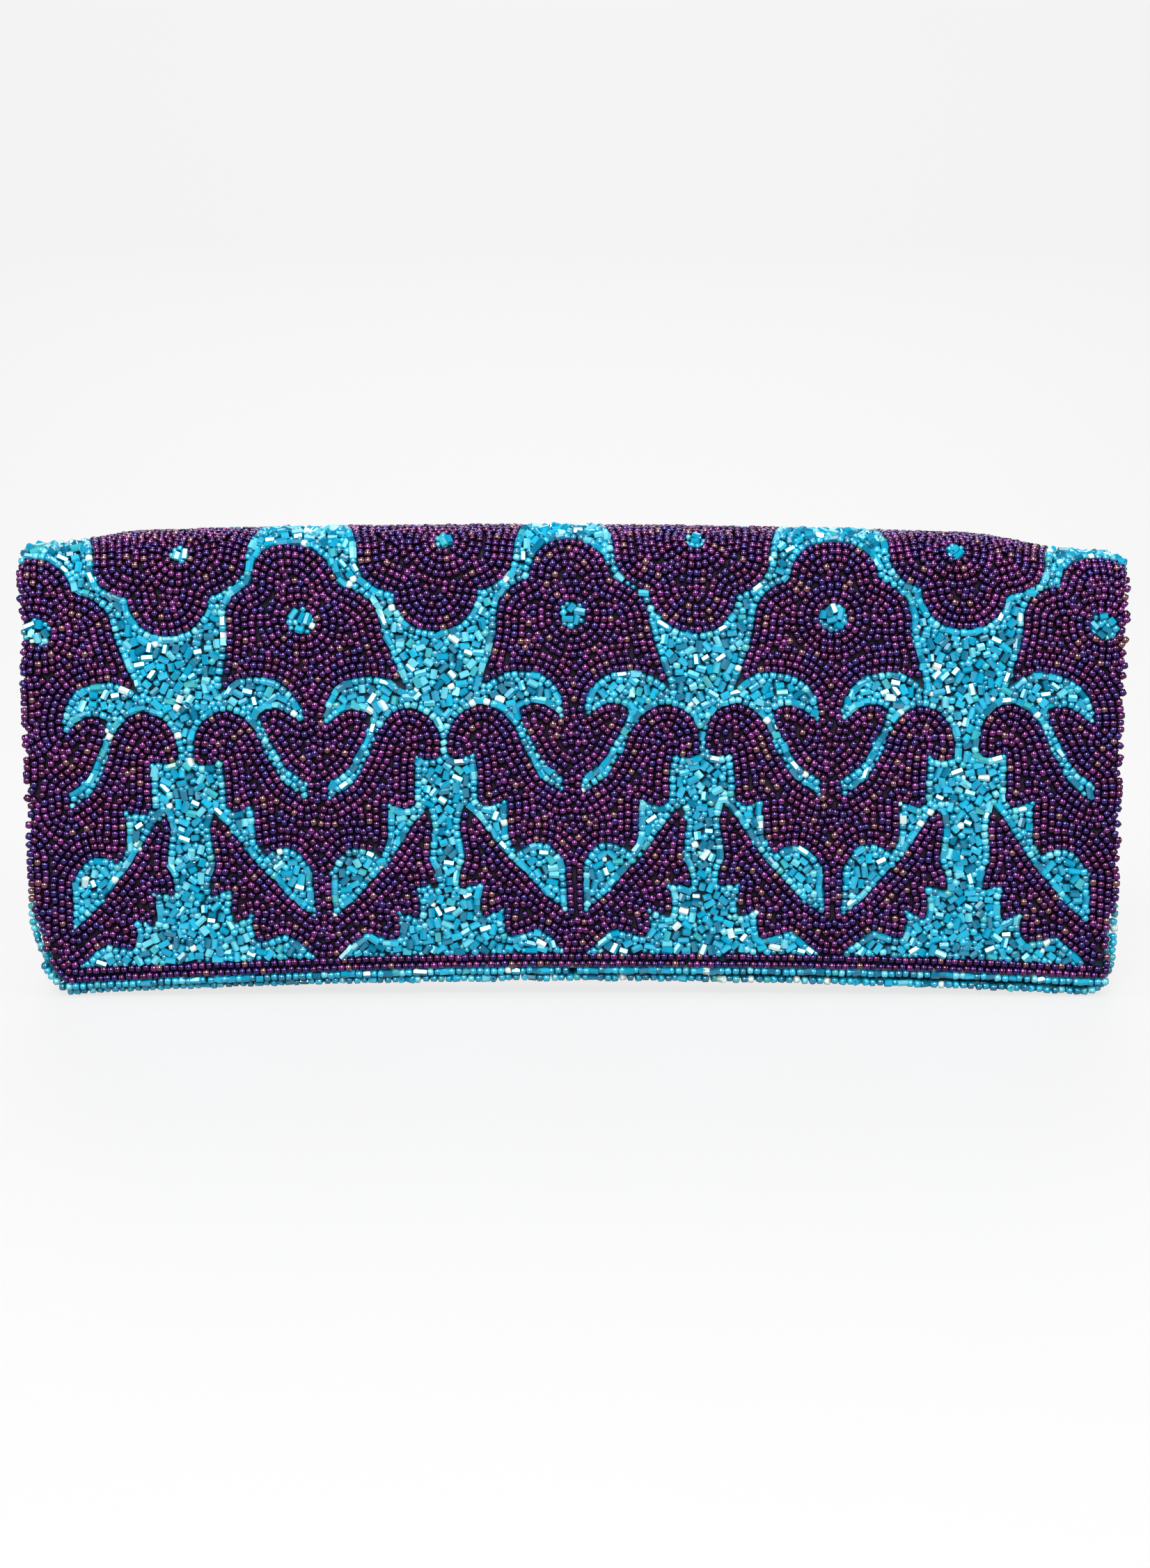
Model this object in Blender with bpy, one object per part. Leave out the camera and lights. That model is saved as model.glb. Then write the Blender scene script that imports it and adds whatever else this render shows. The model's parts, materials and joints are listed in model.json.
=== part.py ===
"""Beaded fold-over clutch purse: a flat bag whose beaded shell runs up the back, over a rolled fold and
down the front as a full flap, held shut by a hidden magnetic snap.

Lengths are in millimetres and become metres where the meshes are made. X runs along the purse, -Y is the
front, +Z is up, and the origin is the middle of the bottom. Every layer of the shell is given by two
radii: its distances from the fold's centreline, which are also its distances from the plane y = 0.
"""

import math

import bmesh
import bpy
from mathutils import Matrix, Vector

MM = 0.001

# Driving dimensions
WIDTH = 280.0
HEIGHT = 118.0
DEPTH = 22.0
GAP = 0.3  # between two pieces that lie on each other
CLOTH_T = 0.4
BOARD_T = 0.8
BEAD_T = 2.0

# The shell's layers as (inner, outer) radii, from the bead tips inwards
BEADS = (DEPTH / 2 - BEAD_T, DEPTH / 2)
CLOTH = (BEADS[0] - GAP - CLOTH_T, BEADS[0] - GAP)
BOARD = (CLOTH[0] - GAP - BOARD_T, CLOTH[0] - GAP)
LINING = (BOARD[0] - GAP - CLOTH_T, BOARD[0] - GAP)

# The rolled fold: three strips on four hinge lines, so that it unrolls from a half turn to a flat sheet
FOLD_Z = HEIGHT - BEADS[1]
HINGE_RADIUS = (CLOTH[0] + CLOTH[1]) / 2
HINGES = 4
TURN = 180.0 / HINGES
HINGE_ANGLES = [TURN * (k + 0.5) for k in range(HINGES)]
ARC_STEP = TURN / 6

# Half widths, stepped so that each layer hides the edge of the one inside it
HALF_BACK_BEADS = WIDTH / 2
HALF_FLAP_BEADS = HALF_BACK_BEADS - 1.0
HALF_CLOTH = HALF_BACK_BEADS - 2.0
HALF_LINING = HALF_BACK_BEADS - 3.1
HALF_BOARD = HALF_BACK_BEADS - 3.5

# The flap
FLAP_Z = 2.1
FLAP_CORNER = 8.0
BORDER_H = 6.2  # three rows of beads: one round the edge, two above it

# The front panel, as y positions from its outer face inwards
FRONT_TOP = 103.0
BINDING_LEG = 6.0
FRONT_CLOTH = (-2.9, -2.9 + CLOTH_T)
FRONT_BOARD = (FRONT_CLOTH[1] + GAP, FRONT_CLOTH[1] + GAP + BOARD_T)
FRONT_LINING = (FRONT_BOARD[1] + GAP, FRONT_BOARD[1] + GAP + CLOTH_T)
FRONT_BAND = (FRONT_CLOTH[0] - GAP - BEAD_T, FRONT_CLOTH[0] - GAP)
BAND_Z = (2.6, 12.6)

# The bottom, as z positions from the beads upwards; its beads also make the ledge below the flap's edge
LEDGE_Y = -BEADS[0] + GAP
BOTTOM_BEADS = (0.0, BEAD_T)
BOTTOM_CLOTH = (BOTTOM_BEADS[1] + GAP, BOTTOM_BEADS[1] + GAP + CLOTH_T)
BOTTOM_BOARD = (BOTTOM_CLOTH[1] + GAP, BOTTOM_CLOTH[1] + GAP + BOARD_T)
BOTTOM_LINING = (BOTTOM_BOARD[1] + GAP, BOTTOM_BOARD[1] + GAP + CLOTH_T)
INSIDE_Z = BOTTOM_LINING[1] + GAP

# The magnetic snap, 14 mm across, in the middle of the flap's lower half
SNAP_Z = 25.0
SNAP_R = 7.0
SNAP_SEGMENTS = 32
BOARD_HOLE_R = 8.0
PRONG_X = 4.0
PRONG_W = 3.0
PRONG_T = 0.5
PRONG_FOOT = 2.4
SLOT_CLEARANCE = 0.3
PRONG_BITE = 0.1  # how far a prong runs into its plate, so that the two join into one solid

COLOURS = {
    "bead_turquoise": ((0.07, 0.48, 0.70), 0.2, 0.0),
    "bead_purple": ((0.13, 0.01, 0.17), 0.2, 0.3),
    "satin": ((0.03, 0.36, 0.50), 0.4, 0.0),
    "lining_satin": ((0.02, 0.25, 0.36), 0.4, 0.0),
    "fibre_board": ((0.55, 0.50, 0.42), 0.9, 0.0),
    "nickel": ((0.75, 0.74, 0.72), 0.25, 1.0),
    "magnet": ((0.12, 0.12, 0.13), 0.5, 0.6),
    "steel": ((0.60, 0.60, 0.60), 0.4, 1.0),
}


def clear_scene():
    for obj in list(bpy.data.objects):
        bpy.data.objects.remove(obj)


def material(name):
    found = bpy.data.materials.get(name)
    if found:
        return found
    made = bpy.data.materials.new(name)
    made.use_nodes = True
    colour, roughness, metallic = COLOURS[name]
    shader = made.node_tree.nodes["Principled BSDF"]
    shader.inputs["Base Color"].default_value = (*colour, 1.0)
    shader.inputs["Roughness"].default_value = roughness
    shader.inputs["Metallic"].default_value = metallic
    made.diffuse_color = (*colour, 1.0)
    return made


def add_object(name, mesh_data, slot, body):
    """Scales a bmesh from millimetres to metres and adds it to the scene under its body's empty."""
    bmesh.ops.scale(mesh_data, vec=(MM, MM, MM), verts=mesh_data.verts)
    bmesh.ops.recalc_face_normals(mesh_data, faces=mesh_data.faces)
    mesh = bpy.data.meshes.new(name)
    mesh_data.to_mesh(mesh)
    mesh_data.free()
    obj = bpy.data.objects.new(name, mesh)
    bpy.context.scene.collection.objects.link(obj)
    if slot is None:
        obj.hide_render = True
        obj.display_type = "WIRE"
    else:
        mesh.materials.append(material(slot))
    if body is not None:
        obj.parent = body
        obj.matrix_parent_inverse = body.matrix_world.inverted()
    return obj


def body_empty(name, y, z):
    """The empty that stands for a rigid body, on its joint's axis."""
    empty = bpy.data.objects.new(name, None)
    empty.location = Vector((0.0, y, z)) * MM
    bpy.context.scene.collection.objects.link(empty)
    bpy.context.view_layer.update()
    return empty


def extruded(section, start, end, axis="X"):
    """A prism with this outline: (y, z) points run along X, or (x, y) points run along Z."""
    shape = bmesh.new()

    def ring(place):
        if axis == "X":
            return [shape.verts.new((place, y, z)) for y, z in section]
        return [shape.verts.new((x, y, place)) for x, y in section]

    first, last = ring(start), ring(end)
    shape.faces.new(first)
    shape.faces.new(reversed(last))
    for i in range(len(section)):
        j = (i + 1) % len(section)
        shape.faces.new((first[j], first[i], last[i], last[j]))
    return shape


def round_lower_corners(shape, radius, low, segments=6):
    """Rounds the two lower corners of an upright panel, seen from the front."""
    tolerance = 1e-4
    edges = []
    for edge in shape.edges:
        a, b = (v.co for v in edge.verts)
        on_bottom = abs(a.z - low) < tolerance and abs(b.z - low) < tolerance
        if on_bottom and abs(a.x - b.x) < tolerance:
            edges.append(edge)
    bmesh.ops.bevel(
        shape,
        geom=edges,
        offset=radius,
        segments=segments,
        profile=0.5,
        affect="EDGES",
        clamp_overlap=False,
    )


def box(name, x, y, z, slot, body=None):
    """A plain sheet or bar between (low, high) pairs."""
    corners = [(y[0], z[0]), (y[1], z[0]), (y[1], z[1]), (y[0], z[1])]
    return add_object(name, extruded(corners, x[0], x[1]), slot, body)


def panel(name, half_width, y, z, slot, body, corner=0.0):
    """An upright sheet, the full width of the purse, with its lower corners rounded."""
    section = [(y[0], z[0]), (y[1], z[0]), (y[1], z[1]), (y[0], z[1])]
    shape = extruded(section, -half_width, half_width)
    if corner:
        round_lower_corners(shape, corner, z[0])
    return add_object(name, shape, slot, body)


def relief(radius):
    """Degrees that a layer stops short of a hinge line, so that its ends close but don't cross at full opening."""
    outside = max(radius - HINGE_RADIUS, 0.0)
    setback = outside * math.tan(math.radians(TURN / 2)) + GAP / 2
    return math.degrees(setback / radius)


def arc(radius, start, end):
    """(y, z) points round the fold's centreline; 0 degrees is the back and 180 degrees the front."""
    steps = max(1, math.ceil((end - start) / ARC_STEP))
    angles = [math.radians(start + (end - start) * i / steps) for i in range(steps + 1)]
    return [(radius * math.cos(a), FOLD_Z + radius * math.sin(a)) for a in angles]


def layer(name, radii, half_width, slot, body, back_z=None, start=None, end=None, front_z=None, corner=0.0):
    """One layer of the shell: up the back from back_z, round the fold from start to end, down to front_z."""
    lines = []
    for radius in radii:
        first = 0.0 if start is None else start + relief(radius)
        last = 180.0 if end is None else end - relief(radius)
        line = arc(radius, first, last)
        if back_z is not None:
            line.insert(0, (radius, back_z))
        if front_z is not None:
            line.append((-radius, front_z))
        lines.append(line)
    section = lines[0] + lines[1][::-1]
    shape = extruded(section, -half_width, half_width)
    if corner:
        round_lower_corners(shape, corner, front_z)
    return add_object(name, shape, slot, body)


def turned(name, profile, slot, body, centre=(0.0, 0.0, SNAP_Z)):
    """A solid of revolution about the Y axis through centre, from a closed (radius, y) profile."""
    shape = bmesh.new()
    rings = []
    for radius, y in profile:
        count = SNAP_SEGMENTS if radius > 0 else 1
        ring = []
        for i in range(count):
            a = 2 * math.pi * i / SNAP_SEGMENTS
            ring.append(
                shape.verts.new(
                    (centre[0] + radius * math.cos(a), centre[1] + y, centre[2] + radius * math.sin(a))
                )
            )
        rings.append(ring)
    for k in range(len(rings)):
        one, two = rings[k], rings[(k + 1) % len(rings)]
        if len(one) == 1 and len(two) == 1:
            continue
        for i in range(SNAP_SEGMENTS):
            j = (i + 1) % SNAP_SEGMENTS
            quad = [one[i % len(one)], one[j % len(one)], two[j % len(two)], two[i % len(two)]]
            shape.faces.new(list(dict.fromkeys(quad)))
    obj = add_object(name, shape, slot, body)
    obj.data.shade_smooth()
    obj.data.set_sharp_from_angle(angle=math.radians(35))
    return obj


def boolean(obj, tool, operation):
    modifier = obj.modifiers.new(operation.lower() + "_" + tool.name, "BOOLEAN")
    modifier.operation = operation
    modifier.object = tool
    modifier.solver = "EXACT"


def cut_round_hole(obj, name, y):
    """The round opening in a board that leaves room for a snap's washer and prongs."""
    margin = 1.0
    low, high = y[0] - margin, y[1] + margin
    cutter = turned(name, [(0, low), (BOARD_HOLE_R, low), (BOARD_HOLE_R, high), (0, high)], None, None)
    boolean(obj, cutter, "DIFFERENCE")


def prong_slots(obj, name, y):
    """The two slots that a snap's prongs pass through, in a cloth or a washer."""
    margin = 1.0
    reach = PRONG_T / 2 + SLOT_CLEARANCE
    tall = PRONG_W / 2 + SLOT_CLEARANCE
    for side in (-1, 1):
        x = side * PRONG_X
        slot = box(
            f"{name}_{'left' if side < 0 else 'right'}",
            (x - reach, x + reach),
            (y[0] - margin, y[1] + margin),
            (SNAP_Z - tall, SNAP_Z + tall),
            None,
        )
        boolean(obj, slot, "DIFFERENCE")


def add_prongs(obj, name, root_y, tip_y):
    """Two prongs from a plate at root_y to a foot bent outwards at tip_y, joined to the plate."""
    toward = 1 if tip_y > root_y else -1
    foot_t = GAP
    for side in (-1, 1):
        inner, outer = PRONG_X - PRONG_T / 2, PRONG_X + PRONG_T / 2
        section = [
            (inner, root_y - toward * PRONG_BITE),
            (outer, root_y - toward * PRONG_BITE),
            (outer, tip_y - toward * foot_t),
            (outer + PRONG_FOOT, tip_y - toward * foot_t),
            (outer + PRONG_FOOT, tip_y),
            (inner, tip_y),
        ]
        outline = [(side * x, y) for x, y in section]
        shape = extruded(outline, SNAP_Z - PRONG_W / 2, SNAP_Z + PRONG_W / 2, axis="Z")
        tool = add_object(f"{name}_{'left' if side < 0 else 'right'}", shape, None, None)
        boolean(obj, tool, "UNION")


def build_back(body):
    """The back of the shell, which is also the rear wall of the bag, and the pocket sewn inside it."""
    end = HINGE_ANGLES[0]
    layer("back_beadwork", BEADS, HALF_BACK_BEADS, "bead_turquoise", body, back_z=0.0, end=end)
    layer("back_cloth", CLOTH, HALF_CLOTH, "satin", body, back_z=BOTTOM_CLOTH[0], end=end)
    panel("back_board", HALF_BOARD, BOARD, (BOTTOM_BOARD[0], FOLD_Z), "fibre_board", body)
    layer("back_lining", LINING, HALF_LINING, "lining_satin", body, back_z=BOTTOM_LINING[0], end=end)
    pocket_y = (LINING[0] - GAP - CLOTH_T, LINING[0] - GAP)
    pocket_half, pocket_z = 75.0, (24.0, 84.0)
    panel("slip_pocket", pocket_half, pocket_y, pocket_z, "lining_satin", body, corner=4.0)


def build_bottom(body):
    """The narrow beaded bottom that joins the back to the front panel."""
    beads_y = (LEDGE_Y, BEADS[0] - GAP)
    across = (-HALF_BACK_BEADS + 0.5, HALF_BACK_BEADS - 0.5)
    box("bottom_beadwork", across, beads_y, BOTTOM_BEADS, "bead_turquoise", body)
    half = HALF_BOARD + 0.5
    box("bottom_cloth", (-half, half), (FRONT_CLOTH[0], CLOTH[0] - GAP), BOTTOM_CLOTH, "satin", body)
    half = HALF_BOARD
    box("bottom_board", (-half, half), (FRONT_BOARD[0], BOARD[0] - GAP), BOTTOM_BOARD, "fibre_board", body)
    box("bottom_lining", (-half, half), (FRONT_BOARD[0], LINING[0] - GAP), BOTTOM_LINING, "lining_satin", body)


def build_side(body, side):
    """One end of the bag: a beaded strip on its cloth, and the pleated gusset that lets the mouth open."""
    name = "left" if side < 0 else "right"
    top = FRONT_TOP + 2.0
    beads_x = sorted((side * (HALF_BACK_BEADS - BEAD_T), side * HALF_BACK_BEADS))
    cloth_out = HALF_BACK_BEADS - BEAD_T - GAP
    cloth_x = sorted((side * (cloth_out - CLOTH_T), side * cloth_out))
    box(f"{name}_side_beadwork", beads_x, (2.0, CLOTH[0] - GAP), (BOTTOM_CLOTH[0], top), "bead_turquoise", body)
    box(f"{name}_side_cloth", cloth_x, (0.5, CLOTH[0] - GAP), (BOTTOM_CLOTH[0], top), "satin", body)

    mouth, pleat = cloth_out - CLOTH_T - GAP, 11.0
    front_y, back_y = FRONT_LINING[1] + GAP, LINING[0] - GAP
    middle_y = (front_y + back_y) / 2
    slope = math.hypot(pleat, middle_y - front_y) / pleat * CLOTH_T
    section = [
        (mouth, front_y),
        (mouth - pleat, middle_y - slope / 2),
        (mouth - pleat, middle_y + slope / 2),
        (mouth, back_y),
        (mouth, back_y - slope),
        (mouth - pleat + 2 * CLOTH_T, middle_y),
        (mouth, front_y + slope),
    ]
    outline = [(side * x, y) for x, y in section]
    shape = extruded(outline, INSIDE_Z, FRONT_TOP - BINDING_LEG, axis="Z")
    add_object(f"{name}_gusset", shape, "lining_satin", body)


def build_front(body):
    """The front panel that the flap covers, with its beaded foot, bound mouth and the socket of the snap."""
    cloth = panel("front_cloth", HALF_BOARD, FRONT_CLOTH, (BOTTOM_CLOTH[1] + GAP, FRONT_TOP), "satin", body)
    prong_slots(cloth, "cloth_slot", FRONT_CLOTH)
    board = panel("front_board", HALF_BOARD, FRONT_BOARD, (INSIDE_Z, FRONT_TOP), "fibre_board", body)
    cut_round_hole(board, "board_hole", FRONT_BOARD)
    panel("front_lining", HALF_BOARD, FRONT_LINING, (INSIDE_Z, FRONT_TOP), "lining_satin", body)
    panel("front_bead_band", HALF_BACK_BEADS - 1.5, FRONT_BAND, BAND_Z, "bead_turquoise", body)

    wall, leg = CLOTH_T, BINDING_LEG
    low_y, high_y = FRONT_CLOTH[0] - GAP, FRONT_LINING[1] + GAP
    top = FRONT_TOP + GAP
    section = [
        (low_y, top - leg),
        (low_y, top),
        (high_y, top),
        (high_y, top - leg),
        (high_y + wall, top - leg),
        (high_y + wall, top + wall),
        (low_y - wall, top + wall),
        (low_y - wall, top - leg),
    ]
    add_object("mouth_binding", extruded(section, -HALF_BOARD, HALF_BOARD), "satin", body)


def build_snap_socket(body):
    """The magnetic half of the snap, on the front panel: cap, ring magnet, base plate and backing washer."""
    skin, side_wall, hole = 0.3, 0.6, 2.5
    base_y = (FRONT_CLOTH[0] - 0.6, FRONT_CLOTH[0] - 0.2)
    magnet_y = (base_y[0] - 1.5, base_y[0] - 0.2)
    face = magnet_y[0] - 0.2
    inner = SNAP_R - side_wall
    cap = [
        (hole, face),
        (hole, face - skin),
        (SNAP_R - side_wall, face - skin),
        (SNAP_R, face + skin),
        (SNAP_R, base_y[1]),
        (inner, base_y[1]),
        (inner, face),
    ]
    turned("snap_socket_cap", cap, "nickel", body)
    ring, bore = inner - 0.2, hole + 0.4
    magnet = [(bore, magnet_y[0]), (ring, magnet_y[0]), (ring, magnet_y[1]), (bore, magnet_y[1])]
    turned("snap_socket_magnet", magnet, "magnet", body)
    base = turned("snap_socket_base", disc(ring, base_y), "nickel", body)
    washer_y = (FRONT_CLOTH[1] + 0.2, FRONT_CLOTH[1] + 0.6)
    add_prongs(base, "base_prong", base_y[1], washer_y[1] + 0.45)
    washer = turned("snap_socket_washer", disc(SNAP_R, washer_y), "steel", body)
    prong_slots(washer, "socket_washer_slot", washer_y)


def disc(radius, y):
    """The profile of a plain disc."""
    return [(0, y[0]), (radius, y[0]), (radius, y[1]), (0, y[1])]


def build_fold_strip(body, index, name):
    """One of the three strips that make up the rolled fold, between two hinge lines."""
    start, end = HINGE_ANGLES[index], HINGE_ANGLES[index + 1]
    layer(f"{name}_beadwork", BEADS, HALF_FLAP_BEADS, "bead_turquoise", body, start=start, end=end)
    layer(f"{name}_cloth", CLOTH, HALF_CLOTH, "satin", body, start=start, end=end)
    layer(f"{name}_lining", LINING, HALF_LINING, "lining_satin", body, start=start, end=end)


def build_flap(body):
    """The flap, from the last hinge line down over the front, with its border rows of beads."""
    start = HINGE_ANGLES[-1]
    border_top = FLAP_Z + BORDER_H
    layer(
        "flap_beadwork", BEADS, HALF_FLAP_BEADS, "bead_purple", body, start=start, front_z=border_top + GAP
    )
    border_y = (-BEADS[1], -BEADS[0])
    panel(
        "flap_border_beads", HALF_FLAP_BEADS, border_y, (FLAP_Z, border_top), "bead_purple", body, corner=5.5
    )
    cloth_z = FLAP_Z + 0.7
    layer("flap_cloth", CLOTH, HALF_CLOTH, "satin", body, start=start, front_z=cloth_z, corner=FLAP_CORNER)
    board_y = (-BOARD[1], -BOARD[0])
    board_z = (cloth_z + 1.0, FOLD_Z)
    board = panel("flap_board", HALF_BOARD, board_y, board_z, "fibre_board", body, corner=FLAP_CORNER)
    cut_round_hole(board, "flap_board_hole", board_y)
    lining = layer(
        "flap_lining",
        LINING,
        HALF_LINING,
        "lining_satin",
        body,
        start=start,
        front_z=cloth_z + 0.5,
        corner=FLAP_CORNER,
    )
    prong_slots(lining, "lining_slot", (-LINING[1], -LINING[0]))


def build_snap_stud(body):
    """The plain half of the snap, on the flap: a disc with a post, and its backing washer."""
    disc_y = (-LINING[0] + 0.2, -LINING[0] + 0.7)
    post_r, post_end = 2.0, disc_y[1] + 1.9
    tip = 0.3
    profile = [
        (0, disc_y[0]),
        (SNAP_R - tip, disc_y[0]),
        (SNAP_R, disc_y[0] + tip),
        (SNAP_R, disc_y[1]),
        (post_r, disc_y[1]),
        (post_r, post_end - tip),
        (post_r - tip, post_end),
        (0, post_end),
    ]
    stud = turned("snap_stud", profile, "nickel", body)
    washer_y = (-LINING[1] - 0.6, -LINING[1] - 0.2)
    add_prongs(stud, "stud_prong", disc_y[0], washer_y[0] - 0.45)
    washer = turned("snap_stud_washer", disc(SNAP_R, washer_y), "steel", body)
    prong_slots(washer, "stud_washer_slot", washer_y)


def hinge_place(index):
    a = math.radians(HINGE_ANGLES[index])
    return HINGE_RADIUS * math.cos(a), FOLD_Z + HINGE_RADIUS * math.sin(a)


def main():
    clear_scene()
    back = body_empty("body_back", 0.0, 0.0)
    front = body_empty("body_front", (FRONT_CLOTH[0] + FRONT_CLOTH[1]) / 2, sum(BOTTOM_CLOTH) / 2)
    build_back(back)
    build_bottom(back)
    for side in (-1, 1):
        build_side(back, side)
    build_front(front)
    build_snap_socket(front)
    for index, name in enumerate(("fold_back", "fold_middle", "fold_front")):
        build_fold_strip(body_empty(f"body_{name}", *hinge_place(index)), index, name)
    flap = body_empty("body_flap", *hinge_place(HINGES - 1))
    build_flap(flap)
    build_snap_stud(flap)


main()
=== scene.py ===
"""Looks of the beaded fold-over clutch purse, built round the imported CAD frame.

Every bead is real geometry, sewn in rows along the outlines of the plants and at random on the ground.
The pattern is laid out flat, in millimetres: u runs across the purse, and v runs up the front from the
flap's lower edge, over the fold and down the back. shell() then wraps the flat pattern round the purse.
"""

import json
import math

import bmesh
import bpy
import numpy as np
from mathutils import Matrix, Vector

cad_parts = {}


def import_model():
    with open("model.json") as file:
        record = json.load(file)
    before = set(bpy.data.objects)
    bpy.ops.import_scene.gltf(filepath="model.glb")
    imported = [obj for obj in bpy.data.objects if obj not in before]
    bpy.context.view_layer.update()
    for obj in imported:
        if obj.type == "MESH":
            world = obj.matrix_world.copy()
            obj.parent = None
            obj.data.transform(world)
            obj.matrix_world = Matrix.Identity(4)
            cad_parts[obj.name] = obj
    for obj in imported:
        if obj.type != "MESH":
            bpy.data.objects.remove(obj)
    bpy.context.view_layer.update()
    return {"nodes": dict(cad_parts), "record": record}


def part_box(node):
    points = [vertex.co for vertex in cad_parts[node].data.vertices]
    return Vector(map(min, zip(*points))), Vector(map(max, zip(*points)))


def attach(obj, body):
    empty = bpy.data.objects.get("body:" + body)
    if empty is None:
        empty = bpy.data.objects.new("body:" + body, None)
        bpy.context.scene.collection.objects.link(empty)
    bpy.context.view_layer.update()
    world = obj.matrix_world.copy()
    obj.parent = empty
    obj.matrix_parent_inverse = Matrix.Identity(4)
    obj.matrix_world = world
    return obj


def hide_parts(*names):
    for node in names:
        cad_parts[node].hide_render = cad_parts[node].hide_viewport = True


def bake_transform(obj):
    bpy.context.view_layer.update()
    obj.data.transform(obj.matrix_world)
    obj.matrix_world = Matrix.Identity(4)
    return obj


MM = 0.001
SEED = 11

# Beads
TIGHT = 0.8  # a bead in a row keeps at least this share of the pitch from the others
PITCH = 1.82  # along a row
ROW = 1.88  # between rows
BEAD_R = 1.0
CUT_R = 0.98
CUT_HALF = 1.3  # half the length of a cut bead
EDGING = 2.0  # height of the turquoise row under the flap's purple border
BEAD_SUNK = 0.15  # the beads' tops stay this far inside the CAD's surface
# The least and the most of a bead's radius and of its half length, as shares of its kind's
ROUND_SPREAD = ((0.9, 1.06), (0.84, 1.06))
CUT_SPREAD = ((0.85, 1.08), (0.72, 1.18))
SMALL = (0.8, 0.75)  # a small bead's radius and length, as shares of a round one's
LIFT = 0.12  # beads in rows stand up to this much higher or lower
TILT = 0.05
LOOSE_LIFT = 2.2  # loose beads do so this many times as much
LOOSE_TILT = 4
SMALL_DOWN = 0.45
EDGING_DOWN = 0.5
# The room that each kind of loose bead needs round it
PURPLE_ROOM = 1.5
TURQUOISE_ROOM = 1.5
SMALL_ROOM = 1.22
CUT_ROOM = 1.4
CUT_ARM = 0.65  # a cut bead needs the same room this far along it, both ways
CUT_SHARE = 0.4  # cut beads are tried in this share of the free places
CUT_IN_ROW = 0.3  # this share of the turquoise beads in rows are cut ones
CUT_IN_SHEET = 0.15
SHEET_PITCH = 1.95  # of the beads on the bottom, the ends and the front panel's foot
# A bead's profile as (x, radius), along its hole
ROUND_PROFILE = ((-0.4, 0), (-0.9, 0.5), (-0.6, 0.96), (0.6, 0.96), (0.9, 0.5), (0.4, 0))
CUT_PROFILE = ((-0.55, 0), (-1, 0.4), (-1, 0.78), (-0.93, 1), (0.93, 1), (1, 0.78), (1, 0.4), (0.55, 0))

# Pattern
# The plants on the front: where each stands, how far its flower leans to one side, how tall it is
FRONT_PLANTS = (
    (-129.5, -4.8, 1.03),
    (-63.0, -5.0, 1.022),
    (0.6, -1.2, 1.03),
    (65.6, -0.9, 1.035),
    (134.1, -1.0, 1.055),
)
# The plants on the back: where each stands, how much shorter it is, how far its dot is off its place
BACK_PLANTS = (
    (-101.1, 0.2, (2.6, -1.0)),
    (-34.7, 0.0, (1.7, -4.0)),
    (30.2, 0.0, (0.3, -5.0)),
    (97.9, 2.0, (-2.0, -1.2)),
)
BACK_STRETCH = 46.0  # the back's plants are about this much taller, with another pair of leaves
FLOWER_UP = 88.0  # a flower's dot is this high above its foot
PLANT_FOOT = 4.0  # where the plants start, above the border
WOBBLE_FROM = 6.0  # the plants' hand-sewn unevenness starts here
DOT_R = 3.4
BACK_DOT_R = 2.3
GRID = 0.25
MARGIN = 1.0  # the grid reaches this far past the pattern
PLANT_REACH = 10.0  # how far from an outline the distance to it is known
PLANT_ROWS = 6  # rows of beads inside an outline, before loose ones fill what is left
BORDER_ROWS = (1.0, 2.95)  # each row's distance from the edge
BORDER_W = 4.0
BORDER_UP = 9.0  # the border is only laid this near to the lower edge
EDGE_ROOM = 0.9  # no other bead is nearer to the edge

# Shape that the flat CAD sheets don't have
ARCH = 4.2  # the middle of the lower edge stands this much higher than its ends
TOP_ARCH = 3.2  # the same for the fold, before its ends droop
TOP_TILT = 0.6  # the fold stands this much higher at its left end and lower at its right end
# How far the fold's ends droop, and where that starts and is complete, from each end: left, right
SHOULDERS = ((2.2, 32.0, 10.0), (3.3, 42.0, 12.0))
DROOP_Z = 60.0  # below this height nothing droops
END_DROP = 3.6  # the fold's very ends drop by this much more
END_REACH = 4.5
END_DOWN = 22.0  # how far down from the fold that drop can be seen
FLAP_TILT = 0.8  # the flap hangs this much lower at its left end and higher at its right end
WAVE = 0.35
# Lower corners as (width, height, roundness): the higher the last number, the squarer the corner
BODY_CORNERS = ((11.0, 20.0, 1.5), (10.0, 11.0, 2.0))  # left, right
FLAP_CORNERS = ((7.5, 12.0, 1.6), (2.5, 3.0, 2.0))
FLAP_PANEL_CORNERS = ((9.0, 24.0, 1.5), (4.0, 16.0, 1.4))
FLAP_NARROW = (3.0, 1.8)  # how much the flap narrows towards its lower edge, left and right
NARROW_UP = (24.0, 13.0)  # where the narrowing starts and is complete, above the lower edge
FLAP_HALF_MORE = 0.4  # the flap's beads stand this much further out than the CAD's
BODY_HALF_MORE = 0.6  # the same for the body's beads
TRIM_W = 6.0
SIDE_TRIM_Z = 24.0  # how high the beads run up the front panel's two side edges

# Cloth
CLOTH_T = 0.4
SATIN_T = 0.35
GUSSET_T = 0.3
PANEL_CELL = 2.6
SNAP_PIN_R = 9.5  # a satin sheet is held down this near to the snap
SNAP_STILL = (22.0, 12.0)  # the snap keeps the sheets in line with it about this far, sideways and upwards
BILLOW = 0.9  # a satin sheet stands no further out than this
MESH_NEAR = 1e-7  # metres; points nearer than this are one
CLOTH_FRAMES = 20

# Light, camera and backdrop
AIM = (0, 0, 0.05)
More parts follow.
